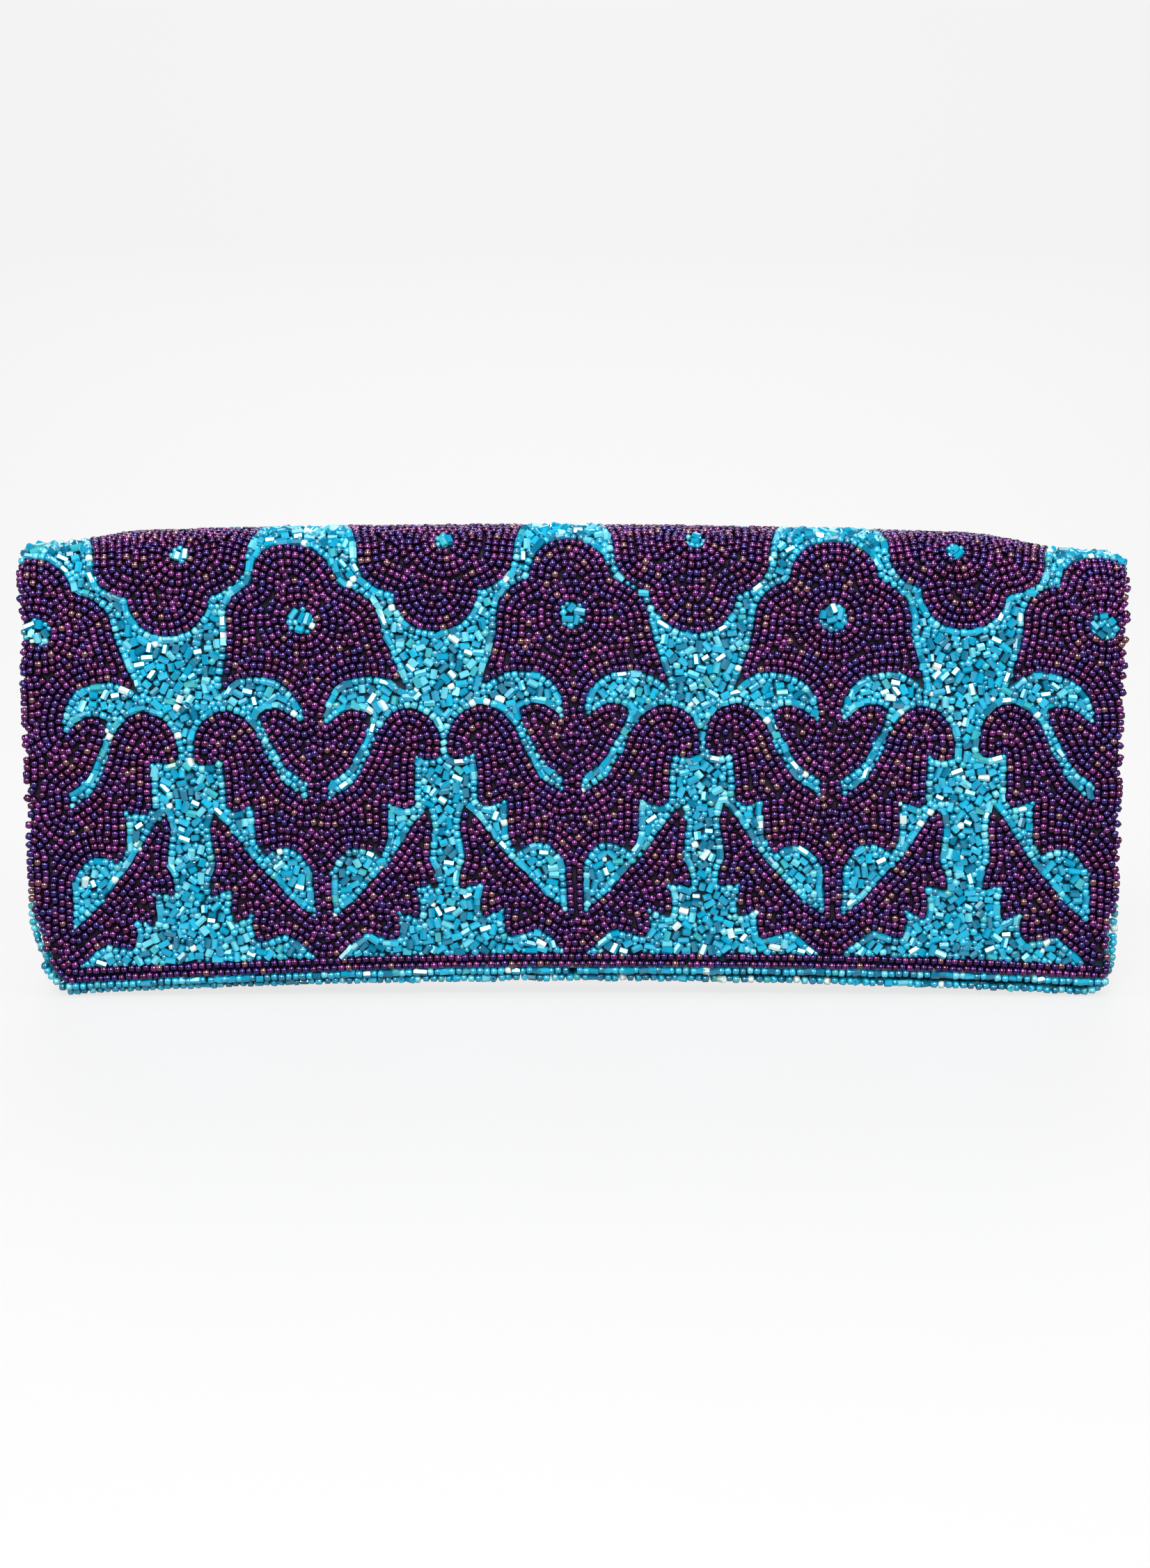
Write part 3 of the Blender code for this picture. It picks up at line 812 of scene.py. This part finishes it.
def bead_group(size, u, v, kind, owner):
    """The body or quarter of the fold that a bead is on, and the rest of its mesh's name."""
    colour = "purple" if kind == "purple" else "turquoise"
    if size.front_v <= v <= size.front_v + size.fold_v:
        zone = min(ZONES - 1, int((1 - (v - size.front_v) / size.fold_v) * ZONES))
        return f"fold{zone}", f"{colour}_beads"
    body = "flap" if v < size.front_v else "back"
    if owner == EDGE:
        return body, "edging"
    if colour == "turquoise":
        return body, "ground_left" if u < 0 else "ground_right"
    return body, "border" if owner == BORDER else f"plant_{owner + 1}"


def build_beadwork(pattern):
    """The beads of the flap, the rolled fold and the back."""
    size = pattern.size
    groups = {}
    for row in lay_beads(pattern):
        u, v, _, kind, owner = row
        groups.setdefault(bead_group(size, u, v, kind, owner), []).append(row)
    nodes = {"flap": ("flap_beadwork", "flap_border_beads"), "back": ("back_beadwork",)}
    for (part, label), members in sorted(groups.items()):
        obj, vs = beads_on_shell(f"{part}_{label}", size, members)
        if part.startswith("fold"):
            bend_over_fold(obj)
            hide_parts(*(f"{strip}_beadwork" for strip in FOLD_STRIPS))
        else:
            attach(obj, part)
            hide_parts(*nodes[part])


# ---------------------------------------------------------------- materials


def feed(tree, node, values):
    """Sets a node's inputs. Each value is a number, a colour or another node's output."""
    for name, value in values.items():
        socket = node.inputs[name]
        if isinstance(value, bpy.types.NodeSocket):
            tree.links.new(value, socket)
        elif socket.type == "RGBA":
            socket.default_value = (*value, 1)
        else:
            socket.default_value = value


def add_node(tree, kind, values):
    node = tree.nodes.new(kind)
    feed(tree, node, values)
    return node


def new_material(name):
    made = bpy.data.materials.new(name)
    made.use_nodes = True
    return made.node_tree, made.node_tree.nodes["Principled BSDF"]


def map_range(tree, value, low, high, start=0.0, end=1.0):
    """Goes from low to high as the value goes from start to end."""
    values = {"Value": value, "From Min": start, "From Max": end, "To Min": low, "To Max": high}
    return add_node(tree, "ShaderNodeMapRange", values)


def noise_texture(tree, scale, detail=2.0, stretch=(1, 1, 1)):
    """Noise in the piece's own space, finer as scale grows."""
    place = tree.nodes.new("ShaderNodeTexCoord").outputs["Object"]
    mapping = add_node(tree, "ShaderNodeMapping", {"Vector": place, "Scale": stretch})
    values = {"Vector": mapping.outputs["Vector"], "Scale": scale, "Detail": detail}
    return add_node(tree, "ShaderNodeTexNoise", values).outputs["Fac"]


def colour_between(tree, factor, dark, light):
    mix = tree.nodes.new("ShaderNodeMix")
    mix.data_type = "RGBA"
    feed(tree, mix, {"Factor": factor, 6: dark, 7: light})
    return mix.outputs[2]


def bump(tree, height, strength, distance=0.0002):
    values = {"Height": height, "Strength": strength, "Distance": distance}
    return add_node(tree, "ShaderNodeBump", values).outputs["Normal"]


def bead_glass(name, colour, shine, metallic=0.0, film=0, glow=0.0, ior=1.6):
    """Glass beads. shine tints the highlights. film is an iridescent coat's thickness, in nanometres.

    The coat, or the light inside plain glass, drifts from bead to bead.
    """
    tree, shader = new_material(name)
    drifting = film or glow
    drift = map_range(tree, noise_texture(tree, 260), drifting * 0.7, drifting * 1.4, 0.3, 0.7)
    values = {
        "Base Color": colour,
        "Roughness": 0.12,
        "Metallic": metallic,
        "IOR": ior,
        "Specular Tint": shine,
        "Subsurface Radius": (0.4, 0.9, 1.0),
        "Subsurface Scale": BEAD_R * MM,
        "Coat Weight": 0.8,
        "Coat Roughness": 0.06,
        "Coat Tint": shine,
        "Thin Film IOR": 1.5,
        "Thin Film Thickness" if film else "Subsurface Weight": drift.outputs["Result"],
    }
    feed(tree, shader, values)


def make_bead_materials():
    lilac, clear, mint, white = (1, 0.9, 1), (0.8, 1.0, 1.0), (0.85, 1.0, 0.95), (1, 1, 1)
    purples = (
        ("bead_violet", (0.055, 0.008, 0.12), 420),
        ("bead_plum", (0.10, 0.008, 0.085), 330),
        ("bead_indigo", (0.035, 0.015, 0.16), 520),
        ("bead_magenta", (0.19, 0.03, 0.20), 300),
        ("bead_bronze", (0.24, 0.11, 0.13), 600),
    )
    for name, colour, film in purples:
        bead_glass(name, colour, lilac, metallic=0.9, film=film)
    glasses = (
        ("bead_aqua", (0.0, 0.27, 0.44), clear, 0.35),
        ("bead_sky", (0.01, 0.38, 0.57), clear, 0.35),
        ("bead_teal", (0.0, 0.14, 0.25), clear, 0.25),
        ("bead_frost", (0.14, 0.52, 0.64), clear, 0.35),
        ("bead_foil", (0.58, 0.74, 0.72), white, 0.2),
    )
    for name, colour, shine, glow in glasses:
        bead_glass(name, colour, shine, glow=glow, ior=1.9)
    bead_glass("bead_opal", (0.04, 0.36, 0.44), mint, film=260, ior=1.9)


def satin(name, dark, light):
    """Satin with a fine weave, faint streaks along its threads and a soft sheen."""
    tree, shader = new_material(name)
    colour = colour_between(tree, noise_texture(tree, 60, 4, (1, 1, 8)), dark, light)
    weave = bump(tree, noise_texture(tree, 350, 5, (1, 1, 5)), 0.12)
    feed(tree, shader, {"Base Color": colour, "Roughness": 0.36, "Sheen Weight": 0.1, "Normal": weave})


def under_beads():
    """The beads' base cloth: partly the thread's own teal and navy, partly painted shade for the deep gaps
    between the beads; near black under the plants, deep teal under the ground.
    """
    tree, shader = new_material("base_cloth")
    mask = tree.nodes.new("ShaderNodeAttribute")
    mask.attribute_name = "under_plant"
    mottle = noise_texture(tree, 500)
    # Painted shade: both colours are darker than the cloth itself, standing in for the shadow deep between
    # the beads
    teal = colour_between(tree, mottle, (0.0, 0.012, 0.03), (0.0, 0.04, 0.08))
    dark = colour_between(tree, mottle, (0.003, 0.001, 0.007), (0.012, 0.004, 0.024))
    colour = colour_between(tree, mask.outputs["Fac"], teal, dark)
    feed(tree, shader, {"Base Color": colour, "Roughness": 0.8, "Normal": bump(tree, mottle, 0.3)})


def fibre_board():
    tree, shader = new_material("fibre_board")
    fibres = noise_texture(tree, 400, 6, (1, 1, 3))
    colour = colour_between(tree, fibres, (0.36, 0.31, 0.24), (0.58, 0.53, 0.44))
    feed(tree, shader, {"Base Color": colour, "Roughness": 0.9, "Normal": bump(tree, fibres, 0.3)})


def plated_metal(name, dark, light, roughness):
    """Turned metal with fine brushing and faint smudges."""
    tree, shader = new_material(name)
    smudge = noise_texture(tree, 300, 4)
    brushing = bump(tree, noise_texture(tree, 2500, 2, (1, 8, 1)), 0.08, 0.0001)
    worn = map_range(tree, smudge, roughness * 0.7, roughness * 1.5).outputs["Result"]
    colour = colour_between(tree, smudge, dark, light)
    feed(tree, shader, {"Base Color": colour, "Metallic": 1.0, "Roughness": worn, "Normal": brushing})


def make_cloth_and_metal_materials():
    satin("satin_turquoise", (0.012, 0.21, 0.32), (0.03, 0.33, 0.46))
    satin("satin_lining", (0.006, 0.13, 0.21), (0.016, 0.20, 0.30))
    under_beads()
    fibre_board()
    plated_metal("nickel_plate", (0.58, 0.57, 0.55), (0.76, 0.75, 0.72), 0.2)
    plated_metal("stamped_steel", (0.42, 0.42, 0.42), (0.58, 0.58, 0.58), 0.4)
    plated_metal("magnet_black", (0.05, 0.05, 0.055), (0.10, 0.10, 0.11), 0.5)


def stage_material(name):
    """White paper. To the camera it is mostly a soft glow, so that the background stays evenly pale."""
    tree, shader = new_material(name)
    camera_ray = tree.nodes.new("ShaderNodeLightPath").outputs["Is Camera Ray"]
    grain = noise_texture(tree, 40, 3)
    seen = colour_between(tree, grain, [PAPER_SEEN] * 3, [PAPER_SEEN * 1.02] * 3)
    place = tree.nodes.new("ShaderNodeTexCoord").outputs["Object"]
    split = add_node(tree, "ShaderNodeSeparateXYZ", {"Vector": place})
    depth = map_range(tree, split.outputs["Y"], GLOW_FRONT, GLOW_BEHIND, -0.1, 0.5)
    depth.interpolation_type = "SMOOTHSTEP"
    strength = add_node(tree, "ShaderNodeMath", {0: depth.outputs["Result"], 1: camera_ray})
    strength.operation = "MULTIPLY"
    values = {
        "Base Color": colour_between(tree, camera_ray, [PAPER_FELT] * 3, seen),
        "Roughness": 0.6,
        "Specular IOR Level": 0.2,
        "Emission Color": (1, 1, 1),
        "Emission Strength": strength.outputs["Value"],
    }
    feed(tree, shader, values)


# ---------------------------------------------------------------- cloth, boards and hardware


def shell_sheet(name, size, pattern, span, radius, half, material, step=2.0):
    """A sheet that follows the shell between two places of the flat pattern. Also gives each vertex's v."""
    v_low, v_high = span
    nu, nv = int(2 * half / step), max(4, int((v_high - v_low) / step))
    vs = np.linspace(v_low, v_high, nv + 1)
    front = vs < size.total_v / 2
    up = np.where(front, vs, size.total_v - vs)
    sides = []
    for sign, flap_corner, body_corner in zip((-1, 1), FLAP_CORNERS, BODY_CORNERS):
        inset = np.where(front, corner_inset(up, flap_corner), corner_inset(up, body_corner))
        narrowing = np.where(front, flap_narrowing(np.full(len(up), sign), up), 0)
        sides.append(sign * (half - inset - narrowing))
    share = np.linspace(0, 1, nu + 1)[:, None]
    u = sides[0] * (1 - share) + sides[1] * share
    v = np.broadcast_to(vs, u.shape)
    flat_u, flat_v = u.ravel(), v.ravel()
    place, _, _ = shell(size, flat_u, flat_v, radius)
    obj = mesh_object(name, place, grid_faces(nu + 1, nv + 1), [material])
    # under_plant picks where the base cloth's painted shade is near black rather than deep teal
    mask = obj.data.attributes.new("under_plant", "FLOAT", "POINT")
    distance = pattern.at(pattern.distance, np.stack([flat_u, flat_v], axis=-1))
    mask.data.foreach_set("value", np.clip(0.5 + distance, 0, 1).astype(np.float32))
    thicken(obj, CLOTH_T)
    return obj, flat_v


def build_shell_cloth(size, pattern):
    """The base cloth under the beads and the lining of the fold."""
    quarter = size.fold_v / ZONES
    layers = (
        ("cloth", size.cloth_r, size.half_cloth, "base_cloth", "satin"),
        ("lining", size.lining_r, size.half_lining, "satin_lining", "lining_satin"),
    )
    for label, radius, half, material, slot in layers:
        for zone in range(ZONES):
            high = size.front_v + size.fold_v - zone * quarter
            span = (high - quarter, high)
            obj, vs = shell_sheet(f"fold{zone}_{label}", size, pattern, span, radius, half, material)
            bend_over_fold(obj)
            stand_for(obj, slot, *(f"{strip}_{label}" for strip in FOLD_STRIPS))
    spans = {"flap": (0.7, size.front_v), "back": (size.back_v, size.total_v - 1.3)}
    for body, span in spans.items():
        name, radius, half = f"{body}_base", size.cloth_r, size.half_cloth
        obj, _ = shell_sheet(name, size, pattern, span, radius, half, "base_cloth", 1.5)
        stand_for(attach(obj, body), "satin", f"{body}_cloth")


def snap_keeps_still(size, x, z):
    """0 at the snap and 1 away from it: sheets stay in line with the snap's straight CAD parts."""
    return 1 - np.exp(-((x / SNAP_STILL[0]) ** 2) - ((z - size.snap_z) / SNAP_STILL[1]) ** 2)


def round_corner(place, half, corners, low=0.0):
    """Moves a place near one of a sheet's square lower corners onto its rounded corner."""
    x, y, z = place
    width, height, power = corners[int(x > 0)]
    a, b = 1 - (half - abs(x)) / width, 1 - (z - low) / height
    if a <= 0 or b <= 0:
        return place
    shrink = max(a, b) / (a**power + b**power) ** (1 / power)
    x = math.copysign(half - width * (1 - a * shrink), x)
    return np.array([x, y, low + height * (1 - b * shrink)])


def arched_copy(node, body, size, slot):
    """A copy of a flat CAD sheet, bent to the purse's arch and cut to its rounded corners."""
    shape = bmesh.new()
    shape.from_mesh(bpy.data.objects[node].data)
    bmesh.ops.remove_doubles(shape, verts=shape.verts, dist=MESH_NEAR)
    for x in np.arange(-130, 131, 10):
        geometry = shape.verts[:] + shape.edges[:] + shape.faces[:]
        cut = {"plane_co": (x * MM, 0, 0), "plane_no": (1, 0, 0)}
        bmesh.ops.bisect_plane(shape, geom=geometry, dist=MESH_NEAR, **cut)
    for vert in shape.verts:
        x, _, z = round_corner(np.array(vert.co) / MM, size.half_back, BODY_CORNERS)
        vert.co.x = x * MM
        vert.co.z = (z + float(height_change(size, x, z) * snap_keeps_still(size, x, z))) * MM
    mesh = bpy.data.meshes.new(f"{node}_sheet")
    shape.to_mesh(mesh)
    shape.free()
    obj = object_of(f"{node}_sheet", mesh, [MATERIAL_OF[slot]])
    stand_for(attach(obj, body), slot, node)


def build_inner_sheets(frame, size):
    """The boards and the flat cloths and linings, which keep their CAD thickness."""
    sheets = {
        "fibre_board": ("back_board", "front_board", "flap_board", "bottom_board"),
        "satin": ("bottom_cloth", "left_side_cloth", "right_side_cloth"),
        "lining_satin": ("bottom_lining",),
    }
    bodies = frame["record"]["behaviour"]["bodies"]
    body_of = {node: body for body, nodes in bodies.items() for node in nodes}
    for slot, nodes in sheets.items():
        for node in nodes:
            arched_copy(node, body_of[node], size, slot)


def finish_hardware(frame):
    """The snap's CAD parts keep their shape and get worn metal."""
    for row in frame["record"]["subparts"]:
        if row["material_slot"] in METALS:
            for material_slot in frame["nodes"][row["node"]].material_slots:
                material_slot.material = bpy.data.materials[MATERIAL_OF[row["material_slot"]]]


class Panel:
    """A flat satin sheet, held along its edges and round the snap, that billows towards one side."""

    def __init__(self, name, node, body, y, toward, slot, snap_z=None, cap=BILLOW):
        self.node, self.body, self.slot = node, body, slot
        self.y, self.toward, self.cap = y, toward, cap
        low, high = box_mm(node)
        x0, x1, z0, z1 = low[0], high[0], low[2], high[2]
        nx, nz = int((x1 - x0) / PANEL_CELL), int((z1 - z0) / PANEL_CELL)
        x, z = np.meshgrid(np.linspace(x0, x1, nx + 1), np.linspace(z0, z1, nz + 1), indexing="ij")
        self.x, self.z = x.ravel(), z.ravel()
        place = np.stack([self.x, np.full(self.x.shape, y), self.z], axis=-1)
        place[:, 1] += toward * rng_for(name).uniform(0, 0.05, len(place))
        faces = grid_faces(nx + 1, nz + 1)
        if toward > 0:
            faces = [face[::-1] for face in faces]
        self.obj = mesh_object(name, place, faces, [MATERIAL_OF[slot]])
        border = (self.x < x0 + 0.1) | (self.x > x1 - 0.1) | (self.z < z0 + 0.1) | (self.z > z1 - 0.1)
        near_snap = np.hypot(self.x, self.z - snap_z) < SNAP_PIN_R if snap_z else False
        self.pinned = border | near_snap

    def add_cloth(self):
        group = self.obj.vertex_groups.new(name="sewn")
        group.add(np.flatnonzero(self.pinned).tolist(), 1.0, "REPLACE")
        settings = self.obj.modifiers.new("cloth", "CLOTH").settings
        settings.quality = 6
        settings.mass = 0.12
        settings.tension_stiffness = 12
        settings.compression_stiffness = 12
        settings.bending_stiffness = 0.02
        settings.use_pressure = True
        settings.uniform_pressure_force = 1.5
        settings.shrink_min = -0.02
        settings.effector_weights.gravity = 0.4
        settings.vertex_group_mass = "sewn"

    def simulated_y(self):
        """Where the simulation has brought each point, or where it started if none was run."""
        if not self.obj.modifiers:
            return np.full(len(self.x), self.y)
        depsgraph = bpy.context.evaluated_depsgraph_get()
        made = bpy.data.meshes.new_from_object(self.obj.evaluated_get(depsgraph))
        co = np.zeros(len(made.vertices) * 3)
        made.vertices.foreach_get("co", co)
        bpy.data.meshes.remove(made)
        self.obj.modifiers.clear()
        return co.reshape(-1, 3)[:, 1] / MM

    def settle(self, size):
        """Keeps the simulated shape, no further out than the cap, and turns it into a finished sheet."""
        out = np.clip((self.simulated_y() - self.y) * self.toward, -0.05, None)
        out = self.cap * np.tanh(out / self.cap)
        half, low = np.abs(self.x).max(), self.z.min()
        corners = FLAP_PANEL_CORNERS if self.body == "flap" else BODY_CORNERS
        flat = np.stack([self.x, self.y + out * self.toward, self.z], axis=-1)
        place = np.array([round_corner(point, half, corners, low) for point in flat])
        x, z = place[:, 0], place[:, 2]
        place[:, 2] += height_change(size, x, z) * snap_keeps_still(size, x, z)
        place *= MM
        self.obj.data.vertices.foreach_set("co", place.ravel())
        self.obj.data.update()
        thicken(self.obj, SATIN_T)
        stand_for(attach(self.obj, self.body), self.slot, self.node)


def build_panels(size):
    """The satin sheets that show when the purse is open, billowed by cloth simulation."""
    front, inside_front = box_mm("front_cloth")[0][1], box_mm("front_lining")[1][1]
    pocket, back = box_mm("slip_pocket")[0][1], box_mm("slip_pocket")[1][1] + 0.3
    flap, snap_z = -size.lining_r + CLOTH_T, size.snap_z
    panels = [
        Panel("front_satin", "front_cloth", "front_panel", front, -1, "satin", snap_z),
        Panel("front_lining_satin", "front_lining", "front_panel", inside_front, 1, "lining_satin"),
        Panel("flap_lining_satin", "flap_lining", "flap", flap, 1, "lining_satin", snap_z),
        Panel("back_lining_satin", "back_lining", "back", back, -1, "lining_satin", cap=0.5),
        Panel("pocket_satin", "slip_pocket", "back", pocket, -1, "lining_satin", cap=0.6),
    ]
    for panel in panels:
        panel.add_cloth()
    for frame_number in range(1, CLOTH_FRAMES + 1):
        bpy.context.scene.frame_set(frame_number)
    for panel in panels:
        panel.settle(size)
    bpy.context.scene.frame_set(1)


def sheet_of_beads(name, size, node, normal, trim_z=None):
    """Turquoise beads in loose rows over one face of a CAD sheet, and up its side edges to trim_z."""
    rng = rng_for(name)
    low, high = box_mm(node)
    band_top = high[2]
    axis = int(np.argmax(np.abs(normal)))
    a, b = [k for k in range(3) if k != axis]
    centre = (low + high) / 2
    half = size.half_back + BODY_HALF_MORE
    if high[0] - low[0] > half:  # it runs the full width of the purse
        low[0], high[0] = -half, half
    if axis == 0:
        centre[0] = math.copysign(half - BEAD_R, centre[0])
    if trim_z:
        high[2] = trim_z
    spans = [high[k] - low[k] for k in (a, b)]
    counts = [max(1, round(span / SHEET_PITCH)) for span in spans]
    places, axes, outs, kinds = [], [], [], []
    for i in range(counts[0]):
        for j in range(counts[1]):
            place = centre.copy()
            place[a] = low[a] + (i + 0.5) * spans[0] / counts[0] + rng.uniform(-0.2, 0.2)
            place[b] = low[b] + (j + 0.5) * spans[1] / counts[1] + rng.uniform(-0.2, 0.2)
            if trim_z and place[2] > band_top and half - abs(place[0]) > TRIM_W:
                continue
            place[axis] += rng.uniform(-0.15, 0.15)
            place = round_corner(place, half, BODY_CORNERS)
            place[2] += float(height_change(size, place[0], place[2]))
            turn = rng.normal(0, 0.5)
            direction = np.zeros(3)
            direction[a], direction[b] = math.cos(turn), math.sin(turn)
            places.append(place)
            axes.append(direction)
            outs.append(np.array(normal, float))
            kinds.append("cut" if rng.random() < CUT_IN_SHEET else "turquoise")
    obj, _ = bead_object(name, places, axes, outs, kinds)
    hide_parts(node)
    return obj


def build_other_beads(size):
    """The beads of the bottom, the two ends and the front panel's foot."""
    for part, normal in (("bottom", (0, 0, -1)), ("left_side", (-1, 0, 0)), ("right_side", (1, 0, 0))):
        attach(sheet_of_beads(f"{part}_beads", size, f"{part}_beadwork", normal), "back")
    foot = sheet_of_beads("front_foot_beads", size, "front_bead_band", (0, -1, 0), SIDE_TRIM_Z)
    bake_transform(foot)


def build_gusset(name, side, size):
    """A pleated satin gusset that opens like a fan between the back and the front panel."""
    low, high = box_mm(name)
    mouth = high[0] if side > 0 else low[0]
    depth = high[0] - low[0]
    turns = np.linspace(0, 1, 25)
    across = low[1] - 0.2 + (high[1] - low[1] + 0.4) * turns
    pleats = np.abs(np.sin(turns * math.pi * 2)) ** 0.8
    zs = np.linspace(low[2], high[2], 46)
    place = []
    for z in zs:
        squeeze = 0.86 + 0.1 * math.sin(z / 9 + side)
        for pleat, y in zip(pleats, across):
            x = mouth - side * depth * squeeze * pleat * 0.95
            place.append((x, y, z + float(height_change(size, x, z))))
    faces = grid_faces(len(zs), len(turns), flipped=True)
    obj = mesh_object(f"{name}_satin", place, faces, [MATERIAL_OF["lining_satin"]])
    thicken(obj, GUSSET_T)
    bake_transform(obj)
    stand_for(obj, "lining_satin", name)


def build_mouth_binding(size):
    """A soft satin binding folded over the front panel's top edge."""
    low, high = box_mm("mouth_binding")
    middle_y, half_y = (low[1] + high[1]) / 2, (high[1] - low[1]) / 2
    top = high[2] - half_y
    turn = np.linspace(0, math.pi, 13)
    profile = [(middle_y - half_y * math.cos(t), top + half_y * math.sin(t)) for t in turn]
    profile = [(low[1], low[2]), (low[1] - 0.05, (low[2] + top) / 2)] + profile
    profile += [(high[1] + 0.05, (low[2] + top) / 2), (high[1], low[2])]
    xs = np.linspace(low[0], high[0], 180)
    phases = rng_for("binding").uniform(0, 6, 3)
    place = []
    for x in xs:
        pucker = 0.06 * math.sin(x / 1.9 + phases[0]) + 0.05 * math.sin(x / 3.3 + phases[1])
        for y, z in profile:
            away = (y - middle_y) / half_y
            place.append((x, y + pucker * away, z + float(height_change(size, x, z))))
    faces = grid_faces(len(xs), len(profile), flipped=True)
    obj = mesh_object("mouth_binding_satin", place, faces, [MATERIAL_OF["satin"]])
    thicken(obj, SATIN_T)
    stand_for(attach(obj, "front_panel"), "satin", "mouth_binding")


# ---------------------------------------------------------------- stage, light and camera


def build_stage():
    """A pale floor that curves up into a backdrop."""
    profile = [(-1600, 0), (500, 0)]
    profile += [(500 + 500 * math.sin(a), 500 - 500 * math.cos(a)) for a in np.linspace(0.1, math.pi / 2, 12)]
    profile += [(1000, 2200)]
    points = [(x, y, z) for y, z in profile for x in (-2000, 2000)]
    faces = [(2 * k, 2 * k + 1, 2 * k + 3, 2 * k + 2) for k in range(len(profile) - 1)]
    stage_material("backdrop_paper")
    mesh_object("backdrop", points, faces, ["backdrop_paper"])


def build_lights():
    for name, (place, size, power) in LIGHTS.items():
        data = bpy.data.lights.new(name, "AREA")
        data.shape = "RECTANGLE"
        data.size, data.size_y = size
        data.energy = power
        lamp = bpy.data.objects.new(name, data)
        lamp.location = place
        lamp.rotation_euler = (Vector(AIM) - Vector(place)).to_track_quat("-Z", "Y").to_euler()
        lamp.visible_camera = False
        bpy.context.scene.collection.objects.link(lamp)


def build_world():
    """Even white light from all round, brighter to the camera than to the purse."""
    world = bpy.data.worlds.new("studio")
    world.use_nodes = True
    tree = world.node_tree
    camera_ray = tree.nodes.new("ShaderNodeLightPath").outputs["Is Camera Ray"]
    strength = map_range(tree, camera_ray, WORLD_LIGHT, WORLD_SEEN).outputs["Result"]
    feed(tree, tree.nodes["Background"], {"Color": WORLD_COLOUR, "Strength": strength})
    bpy.context.scene.world = world
    bpy.context.scene.view_settings.view_transform = "Standard"


def build_camera(size):
    """Straight from the front and a little above, about half a metre away."""
    data = bpy.data.cameras.new("camera")
    data.sensor_width = 36
    data.lens = LENS
    camera = bpy.data.objects.new("camera", data)
    target = Vector((CAMERA_AIM_X, -size.tip * MM, size.top * MM / 2 - CAMERA_AIM_DOWN))
    up = math.radians(CAMERA_UP)
    back = Vector((0, -math.cos(up), math.sin(up)))
    camera.location = target + back * CAMERA_AWAY
    camera.rotation_euler = (-back).to_track_quat("-Z", "Y").to_euler()
    bpy.context.scene.collection.objects.link(camera)
    bpy.context.scene.camera = camera


def main():
    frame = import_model()
    size = Sizes()
    make_bead_materials()
    make_cloth_and_metal_materials()
    build_panels(size)
    pattern = Pattern(size)
    build_beadwork(pattern)
    build_shell_cloth(size, pattern)
    build_inner_sheets(frame, size)
    finish_hardware(frame)
    build_other_beads(size)
    build_gusset("left_gusset", -1, size)
    build_gusset("right_gusset", 1, size)
    build_mouth_binding(size)
    build_stage()
    build_lights()
    build_world()
    build_camera(size)


main()
